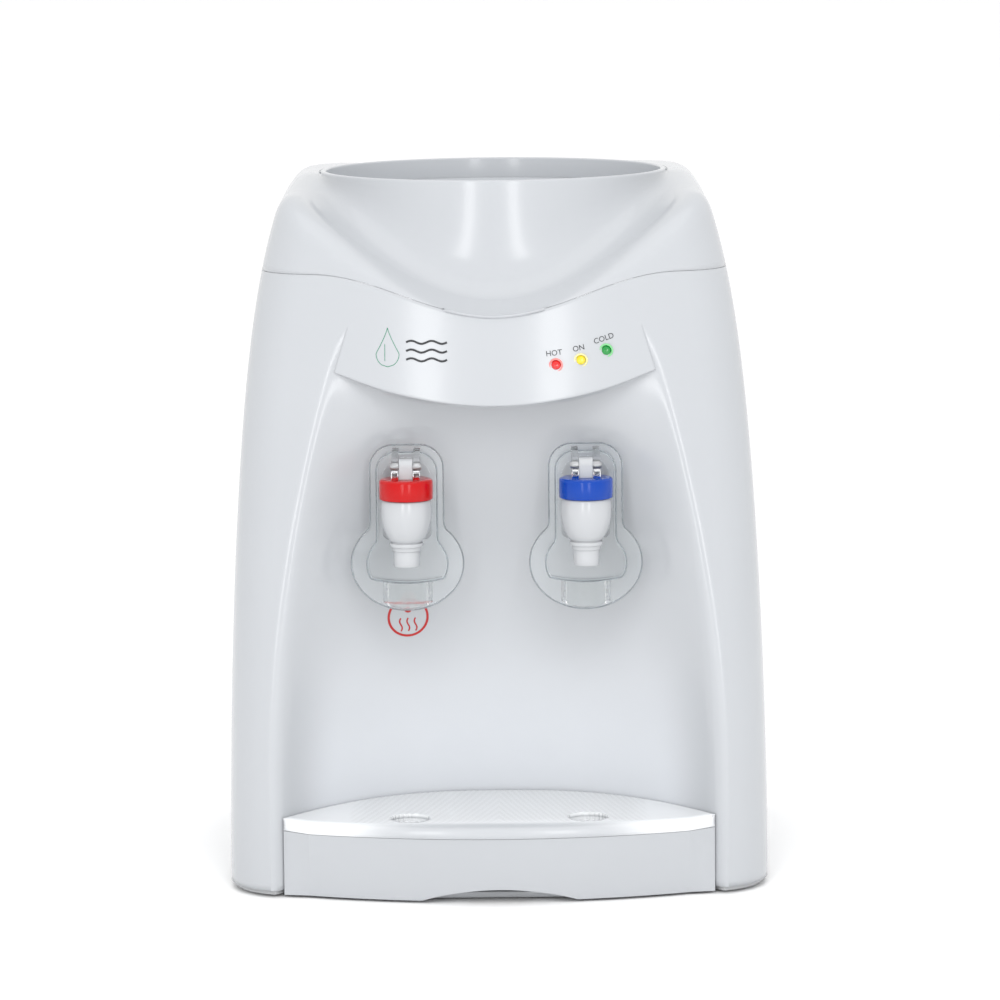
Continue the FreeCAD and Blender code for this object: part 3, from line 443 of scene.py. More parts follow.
# place of one column of the front shell at a height, and whether the recess shapes it
def frontColumn(key, z):
    zone, t = key
    if zone == "inner":
        return browEdge(z) * (0.55 * math.sin(t * math.pi / 2) + 0.45 * t), None
    outer = ridgeX(min(z, 0.312)) + 0.004
    if zone == "strip":
        return browEdge(z) + (outer - browEdge(z)) * t, None
    cx, cy, meetX, meetY, corner = cornerSpot(z)
    if zone == "shoulder":
        return outer + (meetX - outer) * t, None
    if zone == "corner":
        angle = math.atan2(meetY - cy, meetX - cx) * (1 - t)
        return cx + corner * math.cos(angle), cy + corner * math.sin(angle)
    return halfWidth(z), cy + (body["splitY"] - cy) * t


def frontPoint(key, z, depth=0.0):
    x, y = frontColumn(key, z)
    if y is None:
        y = skinY(x, z) + depth
    return Vector((x, y, z))


def lowEnd(key):  # bottom edge: the legs stand a little clear at the front and meet the rear shell lower down
    back = key[1] if key[0] == "side" else 0.0
    return body["floorGap"] + frontShell["legLift"] * (1 - back) ** 2


def seamEnd(key, z):
    for _ in range(5):
        z = seamZ(frontColumn(key, z)[0]) - frontShell["seamGap"]
    return z


# column that runs up the recess wall, round the underside of the panel and up its face
def recessProfile(key):
    d = frontShell
    high = 0.28
    for _ in range(8):
        high = browZ(frontColumn(key, high)[0])
    deep = recessDepth(frontColumn(key, high)[0], high)
    lip = min(d["lip"], 0.4 * deep)
    fillet = min(d["fillet"], 0.4 * deep)
    points = []
    for k in range(d["wallRows"] + 1):
        low = lowEnd(key)
        z = low + (high - fillet - low) * k / d["wallRows"]
        points.append(frontPoint(key, z, recessDepth(frontColumn(key, z)[0], z)))
    inner = max(deep - fillet, deep * 0.55)
    points += bend(points[-1], frontPoint(key, high, deep), frontPoint(key, high, inner), d["filletRows"])
    for k in range(1, d["ceilingRows"] + 1):
        points.append(frontPoint(key, high, inner + (lip - inner) * k / d["ceilingRows"]))
    points += bend(points[-1], frontPoint(key, high), frontPoint(key, high + lip), d["filletRows"])
    start = high + lip
    end = seamEnd(key, start)
    for k in range(1, d["upperRows"] + 1):
        points.append(frontPoint(key, start + (end - start) * k / d["upperRows"]))
    return points


# column outside the panel, with its rows kept level with the rows of the model column
def skinProfile(key, model):
    low = lowEnd(key)
    end = seamEnd(key, model[-1].z)
    points = []
    for guide in model:
        z = low + (end - low) * (guide.z - model[0].z) / (model[-1].z - model[0].z)
        x, y = frontColumn(key, z)
        points.append(frontPoint(key, z, recessDepth(x, z) if y is None else 0.0))
    return points


def buildFrontShell():
    d = frontShell
    right = [recessProfile(("inner", k / d["innerColumns"])) for k in range(d["innerColumns"] + 1)]
    keys = [("strip", k / d["stripColumns"]) for k in range(d["stripColumns"] + 1)]
    keys += [("shoulder", k / d["shoulderColumns"]) for k in range(1, d["shoulderColumns"] + 1)]
    keys += [("corner", k / d["cornerColumns"]) for k in range(1, d["cornerColumns"] + 1)]
    keys += [("side", k / d["sideColumns"]) for k in range(1, d["sideColumns"] + 1)]
    model = [p.copy() for p in right[-1]]
    for p, q in zip(model, model[1:]):  # level rows rise steadily even where the panel's edge turns under
        q.z = max(q.z, p.z + 0.00005)
    right += [skinProfile(key, model) for key in keys]
    left = [[Vector((-p.x, p.y, p.z)) for p in profile] for profile in right[:0:-1]]
    shape = sheetFrom(left + right, False)
    bmesh.ops.remove_doubles(shape, verts=shape.verts, dist=0.00001)
    piece = addPiece("frontShell", shape, "shellWhite", "cabinet")
    thicken(piece, body["wall"])
    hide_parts("front_housing")


topCover = {"columns": 288, "deckFall": 0.51, "deckStart": 0.037, "deckHalf": 0.118, "shoulderTop": 0.3835,
            "bottleY": 0.0306, "collar": 0.097, "seamGap": 0.00009, "edge": 0.014, "fillet": 0.036}


def deckZ(x, y):
    d = topCover
    ahead = d["deckStart"] - y
    fall = d["deckFall"] * (ahead + math.sqrt(ahead * ahead + 0.000064)) / 2
    return d["shoulderTop"] - fall * max(0.0, 1 - (x / d["deckHalf"]) ** 2)


def insidePlan(x, y, z, spot):
    side = halfWidth(z)
    cx, cy, meetX, meetY, corner = spot
    x = abs(x)
    rear = body["rearCorner"]
    if x > side or y > body["rearWall"]:
        return False
    if x > side - rear and y > body["rearWall"] - rear:
        return math.hypot(x - side + rear, y - body["rearWall"] + rear) < rear
    if x > meetX:
        return y > cy or (x < cx or math.hypot(x - cx, y - cy) < corner)
    return y > skinY(x, z)


def outlineReach(angle, z):  # distance from the bottle axis to the body's outline
    spot = cornerSpot(z)
    low, high = 0.05, 0.25
    for _ in range(34):
        middle = (low + high) / 2
        if insidePlan(middle * math.cos(angle), topCover["bottleY"] + middle * math.sin(angle), z, spot):
            low = middle
        else:
            high = middle
    return low


def coverProfile(angle):
    d = topCover
    cosA, sinA = math.cos(angle), math.sin(angle)

    def at(r, z):
        return Vector((r * cosA, d["bottleY"] + r * sinA, z))

    def deckAt(r):
        return deckZ(r * cosA, d["bottleY"] + r * sinA)

    low = body["seamHeight"]
    for _ in range(6):
        r = outlineReach(angle, low)
        low = (seamZ(r * cosA) if d["bottleY"] + r * sinA < body["splitY"] else body["seamHeight"]) + d["seamGap"]
    top = 0.38
    for _ in range(14):
        top = 0.5 * top + 0.5 * deckAt(outlineReach(angle, top))
    reach = outlineReach(angle, top)
    down = min(d["edge"], 0.85 * (top - low))
    inward = min(d["edge"] * 1.1, 0.55 * (reach - d["collar"]))
    points = []
    for k in range(9):
        z = low + (top - down - low) * k / 8
        points.append(at(outlineReach(angle, z), z))
    points += bend(points[-1], at(reach, top), at(reach - inward, deckAt(reach - inward)), 10)
    base = deckAt(d["collar"])
    rise = min(d["fillet"] * 1.2, 0.8 * (body["rimTop"] - base))
    out = min(d["fillet"], 0.92 * (reach - inward - d["collar"]))
    for k in range(1, 13):
        r = reach - inward + (d["collar"] + out - reach + inward) * k / 12
        points.append(at(r, deckAt(r)))
    points += bend(points[-1], at(d["collar"], base), at(d["collar"], base + rise), 8)
    rim = body["rimTop"]
    start = points[-1].z
    for k in range(1, 7):
        points.append(at(d["collar"], start + (rim - 0.0009 - start) * k / 6))
    points += bend(points[-1], at(d["collar"], rim), at(d["collar"] - 0.0010, rim), 4)
    points += bend(at(d["collar"] - 0.0020, rim), at(0.094, rim), at(0.094, rim - 0.0010), 4)
    for r, z in ((0.094, 0.372), (0.094, 0.3535), (0.0936, 0.352), (0.089, 0.3484), (0.0885, 0.3475),
            (0.0885, 0.3445),
                 (0.088, 0.3432), (0.068, 0.3343), (0.0415, 0.3222), (0.041, 0.3215), (0.041, 0.3190)):
        points.append(at(r, z))
    return points


def buildTopCover():
    d = topCover
    profiles = [coverProfile(2 * math.pi * k / d["columns"]) for k in range(d["columns"])]
    profiles.append([p.copy() for p in profiles[0]])
    shape = sheetFrom(profiles, True)
    piece = addPiece("topShell", shape, "shellWhite", "cabinet")
    thicken(piece, 0.0012)
    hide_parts("top_cover")


buildFrontShell()
print("front shell ready")
buildTopCover()
print("top cover ready")


# closed turned shape from (radius, distance) pairs about an upright or front-to-back axis
def lathe(profile, spot, columns=96, axis="z"):
    lines = []
    for k in range(columns):
        angle = 2 * math.pi * k / columns
        if axis == "z":
            lines.append([Vector((spot[0] + r * math.cos(angle), spot[1] + r * math.sin(angle), h)) for r,
                    h in profile])
        else:
            lines.append([Vector((spot[0] + r * math.sin(angle), h, spot[1] + r * math.cos(angle))) for r,
                    h in profile])
    lines.append([p.copy() for p in lines[0]])
    shape = sheetFrom(lines, True)
    bmesh.ops.recalc_face_normals(shape, faces=shape.faces)
    return shape


def join(target, extra):  # add one shape to another
    mesh = bpy.data.meshes.new("joined")
    extra.to_mesh(mesh)
    extra.free()
    target.from_mesh(mesh)
    bpy.data.meshes.remove(mesh)


def sharpen(piece, degrees=40):
    piece.data.set_sharp_from_angle(angle=math.radians(degrees))


tap = {"x": 0.0482, "y": -0.113, "inlet": 0.205,
       "cap": [(0.0027, 0.2262), (0.0100, 0.2262), (0.0100, 0.2216), (0.01175, 0.2216), (0.01175, 0.2186),
               (0.0137, 0.2186),
               (0.0142, 0.21875), (0.0145, 0.2192), (0.0145, 0.2235), (0.0145, 0.2278), (0.01435,
                       0.2286), (0.0138, 0.2292),
               (0.0130, 0.2295), (0.0080, 0.2295), (0.0027, 0.2295), (0.0027, 0.2262)],
       "bell": [(0.0, 0.2200), (0.0114, 0.2200), (0.0114, 0.2184), (0.0129, 0.2182), (0.0133, 0.2172),
               (0.01355, 0.2145),
                (0.01365, 0.2115), (0.01345, 0.2080), (0.0128, 0.2045), (0.0118, 0.2012), (0.0105,
                        0.1984), (0.0091, 0.1964),
                (0.0080, 0.1955), (0.0080, 0.1952), (0.0089, 0.1950), (0.0090, 0.1946), (0.0090,
                        0.1934), (0.0088, 0.1931),
                (0.0079, 0.1928), (0.0079, 0.1912), (0.0077, 0.1908), (0.0070, 0.1905), (0.0070,
                        0.1860), (0.0070, 0.1826),
                (0.0067, 0.1822), (0.0062, 0.1820), (0.0046, 0.1820), (0.0042, 0.1824), (0.0042,
                        0.1980), (0.0, 0.1980)],
       "pipe": [(0.0, -0.107), (0.0070, -0.107), (0.0070, -0.0892), (0.0122, -0.0892), (0.0125, -0.0889),
               (0.0125, -0.0872),
                (0.0070, -0.0870), (0.0070, -0.056), (0.0042, -0.055), (0.0040, -0.044), (0.0, -0.044)],
       "boss": [(0.0075, -0.086), (0.0134, -0.086), (0.0140, -0.0854), (0.0140, -0.066), (0.0075, -0.066),
               (0.0075, -0.086)]}


def buildTap(side, x, capFinish):
    piece = addPiece(side + "Cap", lathe(tap["cap"], (x, tap["y"])), capFinish, "cabinet")
    sharpen(piece)
    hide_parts(side + "_tap_cap")
    shape = lathe(tap["bell"], (x, tap["y"]))
    join(shape, lathe(tap["pipe"], (x, tap["inlet"]), 48, "y"))
    piece = addPiece(side + "TapBody", shape, "tapWhite", "cabinet")
    sharpen(piece, 50)
    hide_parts(side + "_tap_body")
    piece = addPiece(side + "TapBoss", lathe(tap["boss"], (x, tap["inlet"]), 64, "y"), "shellWhite",
            "cabinet")
    sharpen(piece)


lever = {"neck": 0.0198, "top": 0.2462, "half": 0.0303, "drop": 0.0255, "centre": 0.1815, "front": -0.1000,
        "back": -0.0978,
         "innerNeck": 0.0163, "innerTop": 0.2425, "innerHalf": 0.0218, "innerDrop": 0.0180, "lip": 0.1735,
         "window": 0.0128, "windowTop": 0.2390, "windowLow": 0.1950, "points": 200}


def evenly(points, count):  # the same closed line with evenly spaced points
    loop = points + [points[0]]
    lengths = [0.0]
    for a, b in zip(loop, loop[1:]):
        lengths.append(lengths[-1] + math.dist(a, b))
    spaced = []
    i = 0
    for k in range(count):
        goal = lengths[-1] * k / count
        while lengths[i + 1] < goal:
            i += 1
        t = (goal - lengths[i]) / max(1e-12, lengths[i + 1] - lengths[i])
        spaced.append((loop[i][0] + (loop[i + 1][0] - loop[i][0]) * t, loop[i][1]
                + (loop[i + 1][1] - loop[i][1]) * t))
    return spaced


def openLine(points, count):  # evenly spaced points along an open line, both ends kept
    lengths = [0.0]
    for a, b in zip(points, points[1:]):
        lengths.append(lengths[-1] + math.dist(a, b))
    spaced = []
    i = 0
    for k in range(count + 1):
        goal = lengths[-1] * k / count
        while i < len(points) - 2 and lengths[i + 1] < goal:
            i += 1
        t = (goal - lengths[i]) / max(1e-12, lengths[i + 1] - lengths[i])
        spaced.append((points[i][0] + (points[i + 1][0] - points[i][0]) * t, points[i][1]
                + (points[i + 1][1] - points[i][1]) * t))
    return spaced


# closed line from a right half in two runs, so two outlines can be matched run by run
def mirrored(upper, lower, count):
    right = openLine(upper, count) + openLine(lower, count)[1:]
    return right + [(-x, z) for x, z in right[-2:0:-1]]


# right half from the top down, then mirrored: arched neck over an oval paddle
def keyhole(neck, top, half, drop, centre, lip=None):
    bend = neck * 0.64
    right = [(0.0, top), (neck - bend, top)]
    right += [(neck - bend + bend * math.sin(a), top - bend + bend * math.cos(a))
            for a in [math.pi / 2 * k / 24 for k in range(1, 25)]]
    start = math.asin(neck / half)
    join_z = centre + drop * math.cos(start)
    bendIn = 0.0035
    right.append((neck, join_z + bendIn))
    for k in range(1, 6):
        t = k / 6
        ahead = start + 0.13
        end = (half * math.sin(ahead), centre + drop * math.cos(ahead))
        right.append((neck * (1 - t) ** 2 + neck * 2 * t * (1 - t) + end[0] * t * t,
                      (join_z + bendIn) * (1 - t) ** 2 + join_z * 2 * t * (1 - t) + end[1] * t * t))
    for k in range(60):
        a = start + 0.13 + (math.pi - start - 0.13) * k / 60
        spot = (half * math.sin(a), centre + drop * math.cos(a))
        if lip is not None and spot[1] < lip:
            break
        right.append(spot)
    if lip is None:
        right.append((0.0, centre - drop))
    else:
        width = right[-1][0]
        right += [(width * (1 - t), lip - 0.0022 * math.sin(t * math.pi / 2)) for t in (0.2, 0.4, 0.6, 0.8,
                1.0)]
    left = [(-x, z) for x, z in right[-2:0:-1]]
    return right + left


def outward(points, i):
    a, b = points[i - 1], points[(i + 1) % len(points)]
    size = math.dist(a, b) or 1e-9
    return (-(b[1] - a[1]) / size, (b[0] - a[0]) / size)


# round bead that follows a line in the plane of the lever
def bead(points, x, y, radius, closed=True, sides=8):
    lines = []
    for i, (u, z) in enumerate(points):
        nx, nz = outward(points, i) if closed or 0 < i < len(points) - 1 else (0.0, 1.0)
        ring = []
        for k in range(sides + 1):
            a = 2 * math.pi * k / sides
            ring.append(Vector((x + u + nx * radius * math.cos(a), y + radius * math.sin(a), z + nz
                    * radius * math.cos(a))))
        lines.append(ring)
    if closed:
        lines.append([p.copy() for p in lines[0]])
    shape = sheetFrom(lines, True)
    if not closed:
        edges = [e for e in shape.edges if e.is_boundary]
        bmesh.ops.holes_fill(shape, edges=edges, sides=0)
    bmesh.ops.recalc_face_normals(shape, faces=shape.faces)
    return shape


# flat plate between two closed outlines, with rounded edges
def ringPlate(outer, inner, x, front, back, round_):
    lines = []
    mid = (front + back) / 2
    for i, (a, b) in enumerate(zip(outer, inner)):
        an, bn = outward(outer, i), outward(inner, i)

        def at(p, n, push, y):
            return Vector((x + p[0] + n[0] * push, y, p[1] + n[1] * push))

        lines.append([at(a, an, -round_, front), at(b, bn, round_, front),
                at(b, bn, round_ * 0.3, front + round_ * 0.3),
                      at(b, bn, 0.0, mid), at(b, bn, round_ * 0.3, back - round_ * 0.3), at(b, bn, round_,
                              back),
                      at(a, an, -round_, back), at(a, an, -round_ * 0.3, back - round_ * 0.3), at(a, an,
                              0.0, mid),
                      at(a, an, -round_ * 0.3, front + round_ * 0.3), at(a, an, -round_, front)])
    lines.append([p.copy() for p in lines[0]])
    shape = sheetFrom(lines, True)
    bmesh.ops.recalc_face_normals(shape, faces=shape.faces)
    return shape


def slab(profile, x0, x1):  # closed (y, z) outline drawn out sideways, edges rounded
    shape = bmesh.new()
    ring = [shape.verts.new((x0, y, z)) for y, z in profile]
    face = shape.faces.new(ring)
    pulled = bmesh.ops.extrude_face_region(shape, geom=[face])
    bmesh.ops.translate(shape, vec=(x1 - x0, 0, 0), verts=[v for v in pulled["geom"] if isinstance(v,
            bmesh.types.BMVert)])
    bmesh.ops.recalc_face_normals(shape, faces=shape.faces)
    bmesh.ops.bevel(shape, geom=list(shape.edges), offset=0.00045, offset_type="OFFSET", segments=2,
            profile=0.5, affect="EDGES",
                    material=-1)
    return shape


def buildLever(side, x):
    d = lever
    count = d["points"]
    outline = keyhole(d["neck"], d["top"], d["half"], d["drop"], d["centre"])
    outline = outline[:len(outline) // 2 + 1]
    corner = next(i for i, spot in enumerate(outline) if spot[0] > d["neck"] + 1e-9) - 1
    outer = mirrored(outline[:corner + 1], outline[corner:], count // 4)
    window = [(d["window"] * math.sin(a), d["windowTop"] - d["window"] + d["window"] * math.cos(a))
              for a in [math.pi / 2 * k / 20 for k in range(21)]]
    sill = [(d["window"], d["windowLow"] + 0.002), (d["window"] - 0.002, d["windowLow"]),
            (0.0, d["windowLow"])]
    window = mirrored(window + sill[:1], sill, count // 4)
    inner = evenly(keyhole(d["innerNeck"], d["innerTop"], d["innerHalf"], d["innerDrop"], d["centre"],
            d["lip"]), count)
    shape = ringPlate(outer, window, x, d["front"], d["back"], 0.0007)
    inset = [(u - outward(inner, i)[0] * 0.0013, z - outward(inner, i)[1] * 0.0013) for i,
            (u, z) in enumerate(inner)]
    join(shape, ringPlate(inner, inset, x, d["front"] - 0.0032, d["front"] + 0.0001, 0.0004))
    arm = [(d["back"], 0.2444), (-0.106, 0.2438), (tap["y"], 0.2412), (tap["y"] - 0.0049, 0.2375),
            (tap["y"] - 0.0049, 0.2345),
           (tap["y"] + 0.001, 0.2306), (-0.104, 0.2340), (d["back"], 0.2386)]
    for low in (-0.0077, 0.0039):
        join(shape, slab(arm, x + low, x + low + 0.0038))
        foot = lathe([(0.0, x + low), (0.0026, x + low), (0.0030, x + low + 0.0004),
                (0.0030, x + low + 0.0034),
                      (0.0026, x + low + 0.0038), (0.0, x + low + 0.0038)], (0.0, 0.0), 32, "y")
        for v in foot.verts:
            v.co = Vector((v.co.y, tap["y"] - 0.0065 + v.co.x, 0.2320 + v.co.z))
        join(shape, foot)
    bib = []
    for k in range(25):
        a = math.radians(-60 + 5 * k)
        u = 0.0155 * math.sin(a)
        edge = abs(k - 12) / 12
        high = d["lip"] - 0.0022 * math.sqrt(max(0.0, 1 - (u / 0.0195) ** 2)) + 0.0004
        low = 0.1590 + 0.0030 * edge ** 2
        bib.append([Vector((x + u, -0.0925 - 0.0150 * math.cos(a), low + (high - low) * j / 6))
                for j in range(7)])
    sheet = sheetFrom(bib, False)
    bmesh.ops.solidify(sheet, geom=list(sheet.faces), thickness=0.0015)
    bmesh.ops.recalc_face_normals(sheet, faces=sheet.faces)
    join(shape, sheet)
    piece = addPiece(side + "Lever", shape, "leverClear", side + "_paddle")
    sharpen(piece, 35)
    piece.modifiers.new("flatFaces", "WEIGHTED_NORMAL").keep_sharp = True
    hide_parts(side + "_lever")
    # the edge beads carry painted grey shade along the lever's outlines
    edges = bead(outer, x, d["front"] + 0.0002, 0.00042)
    join(edges, bead(inner, x, d["front"] - 0.0030, 0.00042))
    piece = addPiece(side + "LeverEdge", edges, "leverEdgeShade", side + "_paddle")


for side, x, capFinish in (("hot", -tap["x"], "capRed"), ("cold", tap["x"], "capBlue")):
    buildTap(side, x, capFinish)
    buildLever(side, x)
print("taps and levers ready")


lid = {"side": 0.117, "facet": 0.103, "nose": -0.138, "corner": -0.1105, "top": 0.044, "low": 0.0372,
        "roll": 0.0055,
       "rollDown": 0.0048, "columns": 168, "rows": 46, "hole": 0.0108, "wall": 0.0022}


def lidFront(x):
    d = lid
    r = body["frontRadius"]
    if abs(x) <= d["facet"]:
        return d["nose"] + r - math.sqrt(r * r - x * x)
    edge = d["nose"] + r - math.sqrt(r * r - d["facet"] ** 2)
    return edge + (d["corner"] - edge) * (abs(x) - d["facet"]) / (d["side"] - d["facet"])


def lidBack(x):
    return max(skinY(x, lid["top"]) + recessDepth(x, lid["top"]) - 0.0012, lid["corner"] + 0.0009)


def buildLid():
    d = lid
    profiles = []
    for i in range(d["columns"] + 1):
        x = -d["side"] + 2 * d["side"] * i / d["columns"]
        front, back = lidFront(x), lidBack(x)
        roll = min(d["roll"], 0.6 * (back - front))
        line = [Vector((x, back, d["low"])), Vector((x, back, d["top"] - 0.0006)),
                Vector((x, back - 0.0002, d["top"] - 0.0001))]
        for j in range(1, d["rows"] + 1):
            y = back - 0.0004 + (front + roll - back + 0.0004) * j / d["rows"]
            line.append(Vector((x, y, d["top"])))
        line += bend(line[-1], Vector((x, front, d["top"])), Vector((x, front, d["top"] - d["rollDown"])), 9)
        line.append(Vector((x, front, d["low"] + 0.0002)))
        line.append(Vector((x, front + 0.0003, d["low"])))
        profiles.append(line)
    shape = sheetFrom(profiles, False)
    reach = 0.00105
    for v in shape.verts:
        for cx in (-tap["x"], tap["x"]):
            away = math.hypot(v.co.x - cx, v.co.y - tap["y"])
            if v.co.z > d["top"] - 0.0005 and abs(away - d["hole"]) < reach:
                v.co.x = cx + (v.co.x - cx) * d["hole"] / away
                v.co.y = tap["y"] + (v.co.y - tap["y"]) * d["hole"] / away
    inside = [f for f in shape.faces if f.calc_center_median().z > d["top"] - 0.0005 and any(
        math.hypot(f.calc_center_median().x - cx, f.calc_center_median().y - tap["y"]) < d["hole"] - 0.0001
        for cx in (-tap["x"], tap["x"]))]
    bmesh.ops.delete(shape, geom=inside, context="FACES")
    bmesh.ops.recalc_face_normals(shape, faces=shape.faces)
    top = max(shape.faces, key=lambda f: f.calc_center_median().z)
    if top.normal.z < 0:
        bmesh.ops.reverse_faces(shape, faces=shape.faces)
    piece = addPiece("trayLid", shape, "lidWhite", "grille")
    thicken(piece, d["wall"])
    sharpen(piece, 60)
    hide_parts("drip_grille")
    for name, cx in (("hotDrainRing", -tap["x"]), ("coldDrainRing", tap["x"])):
        ring = [(0.0109, 0.0437), (0.0109, 0.0400), (0.0062, 0.0386), (0.0060, 0.0378), (0.0112, 0.0378),
                (0.0114, 0.0437),
                (0.0109, 0.0437)]
        piece = addPiece(name, lathe(ring, (cx, tap["y"]), 72), "lidWhite", "grille")
        sharpen(piece)


buildLid()
toe = bmesh.new()
bmesh.ops.create_cube(toe, size=1.0, matrix=Matrix.LocRotScale(Vector((0, -0.1185, 0.0029)), None,
        Vector((0.084, 0.003, 0.0034))))
bmesh.ops.bevel(toe, geom=list(toe.edges), offset=0.0005, offset_type="OFFSET", segments=2, profile=0.5,
        affect="EDGES", material=-1)
addPiece("toeBar", toe, "shellWhite", "cabinet")
print("tray lid ready")


def facePoint(x, z):
    return Vector((x, skinY(x, z) - 0.00013, z))


def wallPoint(x, z):
    return Vector((x, skinY(x, z) + recessDepth(x, z) - 0.00013, z))


def ribbon(shape, points, widths, place):  # flat inked line of varying width laid on a surface
    rows = []
    for i, (x, z) in enumerate(points):
        a, b = points[max(0, i - 1)], points[min(len(points) - 1, i + 1)]
        size = math.dist(a, b) or 1e-9
        nx, nz = -(b[1] - a[1]) / size, (b[0] - a[0]) / size
        w = widths[i] / 2 if isinstance(widths, list) else widths / 2
        rows.append([shape.verts.new(place(x + nx * w, z + nz * w)),
                shape.verts.new(place(x - nx * w, z - nz * w))])
    for p, q in zip(rows, rows[1:]):
        shape.faces.new((p[0], q[0], q[1], p[1]))


def addInk(name, strokes, finishName, place):
    shape = bmesh.new()
    for points, widths in strokes:
        ribbon(shape, points, widths, place)
    bmesh.ops.remove_doubles(shape, verts=shape.verts, dist=1e-7)
    bmesh.ops.recalc_face_normals(shape, faces=shape.faces)
    if sum(f.normal.y for f in shape.faces) > 0:
        bmesh.ops.reverse_faces(shape, faces=shape.faces)
    return addPiece(name, shape, finishName, "cabinet")


def circle(cx, cz, r, start=0.0, end=360.0, count=72):
    return [(cx + r * math.cos(math.radians(start + (end - start) * k / count)),
             cz + r * math.sin(math.radians(start + (end - start) * k / count))) for k in range(count + 1)]


def dropLine(cx, tip, low, wide, lean=0.0, count=22):
    points, widths = [], []
    for k in range(count + 1):
        t = k / count
        points.append((cx + lean * (1 - t), tip + (low - tip) * t))
        widths.append(max(0.00002, wide * math.sqrt(max(0.0, 1 - ((t - 0.66) / 0.34) ** 2))
                if t > 0.66 else wide * (t / 0.66) ** 1.25))
    return points, widths


def dropOutline(cx, tip, low, wide):
    points, widths = dropLine(cx, tip, low, wide)
    right = [(x + w / 2, z) for (x, z), w in zip(points, widths)]
    left = [(x - w / 2, z) for (x, z), w in zip(points, widths)]
    return right + left[::-1] + [right[0]]


def wave(x0, x1, z, swing, turns, count=36):
    return [(x0 + (x1 - x0) * k / count, z + swing * math.sin(2 * math.pi * turns * k / count))
            for k in range(count + 1)]


def addWord(name, text, x, z, height, turn, place):  # a word laid on the surface, as mesh
    curve = bpy.data.curves.new(name + "Line", "FONT")
    curve.body = text
    curve.size = height
    curve.align_x = "CENTER"
    curve.resolution_u = 4
    holder = bpy.data.objects.new(name + "Line", curve)
    mesh = bpy.data.meshes.new_from_object(holder)
    shape = bmesh.new()
    shape.from_mesh(mesh)
    bpy.data.objects.remove(holder)
    bpy.data.meshes.remove(mesh)
    c, s = math.cos(turn), math.sin(turn)
    for v in shape.verts:
        u, w = v.co.x, v.co.y
        v.co = place(x + u * c - w * s, z + u * s + w * c)
    bmesh.ops.recalc_face_normals(shape, faces=shape.faces)
    if sum(f.normal.y for f in shape.faces) > 0:
        bmesh.ops.reverse_faces(shape, faces=shape.faces)
    return addPiece(name, shape, "inkDark", "cabinet", False)


lamps = [("Red", 0.0327, 0.2888, "HOT", 0.10), ("Yellow", 0.0461, 0.2911, "ON", 0.20),
        ("Green", 0.0598, 0.2959, "COLD", 0.30)]
for color, x, z, word, turn in lamps:
    y = skinY(x, z)
    ring = [(0.00285, y + 0.0012), (0.00285, y - 0.00025), (0.0031, y - 0.0006), (0.0035, y - 0.0005),
            (0.0038, y - 0.0001),
            (0.0038, y + 0.0012), (0.00285, y + 0.0012)]
    # each bezel ring carries a painted glow halo from its lamp
    addPiece("bezel" + color, lathe(ring, (x, z), 48, "y"), "glow" + color, "cabinet")
    addWord("word" + color, word, x - 0.0008, z + 0.0052, 0.0041, turn, facePoint)
addInk("markDrop", [(dropOutline(-0.0575, 0.3090, 0.2885, 0.0125), 0.00032),
                    (dropLine(-0.0590, 0.3005, 0.2915, 0.0030)[0], 0.0003)], "inkGreen", facePoint)
addInk("markWaves", [(wave(-0.0475, -0.0255, 0.3015 - 0.0046 * k, 0.0008, 2.0), 0.0011) for k in range(3)],
        "inkDark", facePoint)
heat = [([(x + 0.0007 * math.sin(2 * math.pi * k / 14), 0.1385 + 0.0075 * k / 14) for k in range(15)], 0.0008)
        for x in (-0.0529, -0.0489, -0.0449)]
addInk("hotNotice", [(circle(-0.0489, 0.1465, 0.0106), 0.0013), dropLine(-0.0489, 0.1550, 0.1490, 0.0042)]
        + heat, "inkRed", wallPoint)
print("lamps and marks ready")


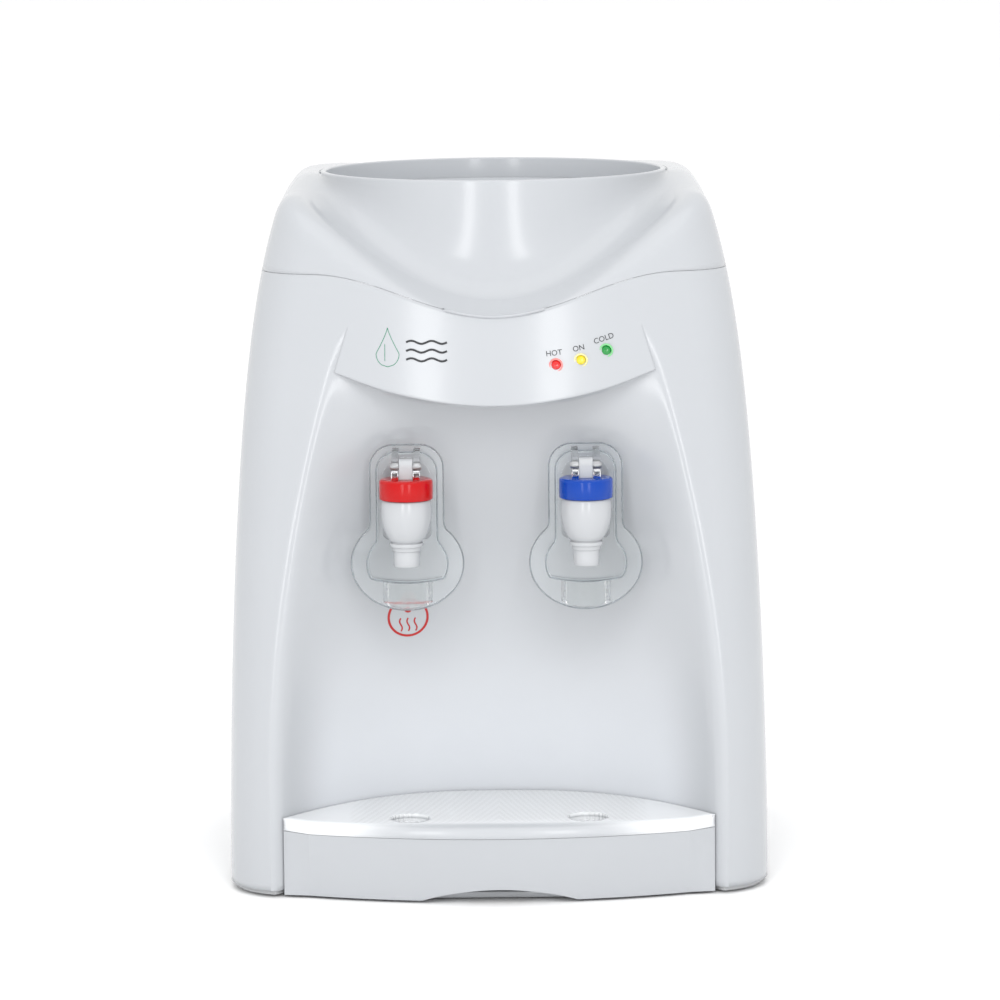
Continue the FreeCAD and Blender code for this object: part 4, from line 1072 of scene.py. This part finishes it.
def addCamera():
    data = bpy.data.cameras.new("frontCamera")
    data.lens = 158.58
    data.sensor_width = 36.0
    camera = bpy.data.objects.new("frontCamera", data)
    scene.collection.objects.link(camera)
    pitch, roll = 0.14241, -0.0095
    ahead = Vector((0, math.cos(pitch), -math.sin(pitch)))
    right = Vector((1, 0, 0))
    up = right.cross(ahead)
    side = right * math.cos(roll) + up * math.sin(roll)
    top = up * math.cos(roll) - right * math.sin(roll)
    turn = Matrix((side, top, -ahead)).transposed().to_4x4()
    camera.matrix_world = Matrix.Translation((0.0021, -2.450, 0.55264)) @ turn
    data.clip_start = 0.05
    data.clip_end = 50.0
    scene.camera = camera


def addArea(name, spot, target, width, height, power, color=(1, 1, 1)):
    data = bpy.data.lights.new(name, "AREA")
    data.shape = "RECTANGLE"
    data.size = width
    data.size_y = height
    data.energy = power
    data.color = color
    lamp = bpy.data.objects.new(name, data)
    scene.collection.objects.link(lamp)
    lamp.location = spot
    aim = Vector(target) - Vector(spot)
    lamp.rotation_euler = aim.to_track_quat("-Z", "Y").to_euler()
    return lamp


def addStudio():
    world = bpy.data.worlds.new("paleStudio")
    scene.world = world
    world.use_nodes = True
    world.node_tree.nodes["Background"].inputs["Color"].default_value = (1.0, 1.0, 1.0, 1.0)
    world.node_tree.nodes["Background"].inputs["Strength"].default_value = 1.04
    fill = addArea("frontFill", (0.0, -2.7, 2.6), (0, -0.1, 0.1), 2.4, 1.4, 45.0)
    fill.visible_glossy = False
    addArea("topSoftbox", (0.0, -0.3, 2.2), (0, 0, 0.15), 2.2, 1.8, 6.0)
    addArea("leftStrip", (-0.66, -2.45, 0.75), (0, 0, 0.32), 0.30, 1.5, 7.0)
    addArea("rightStrip", (0.56, -2.45, 0.75), (0, 0, 0.32), 0.30, 1.5, 7.0)
    mesh = bpy.data.meshes.new("studioFloor")
    shape = bmesh.new()
    bmesh.ops.create_grid(shape, x_segments=1, y_segments=1, size=60.0)
    shape.to_mesh(mesh)
    shape.free()
    floor = bpy.data.objects.new("studioFloor", mesh)
    scene.collection.objects.link(floor)
    mat, tree, shader = newMaterial("paleFloor", (0.97, 0.97, 0.97), 0.6, specular=0.2)
    mesh.materials.append(mat)


addCamera()
addStudio()
scene.view_settings.view_transform = "Standard"
print("camera and lights ready")
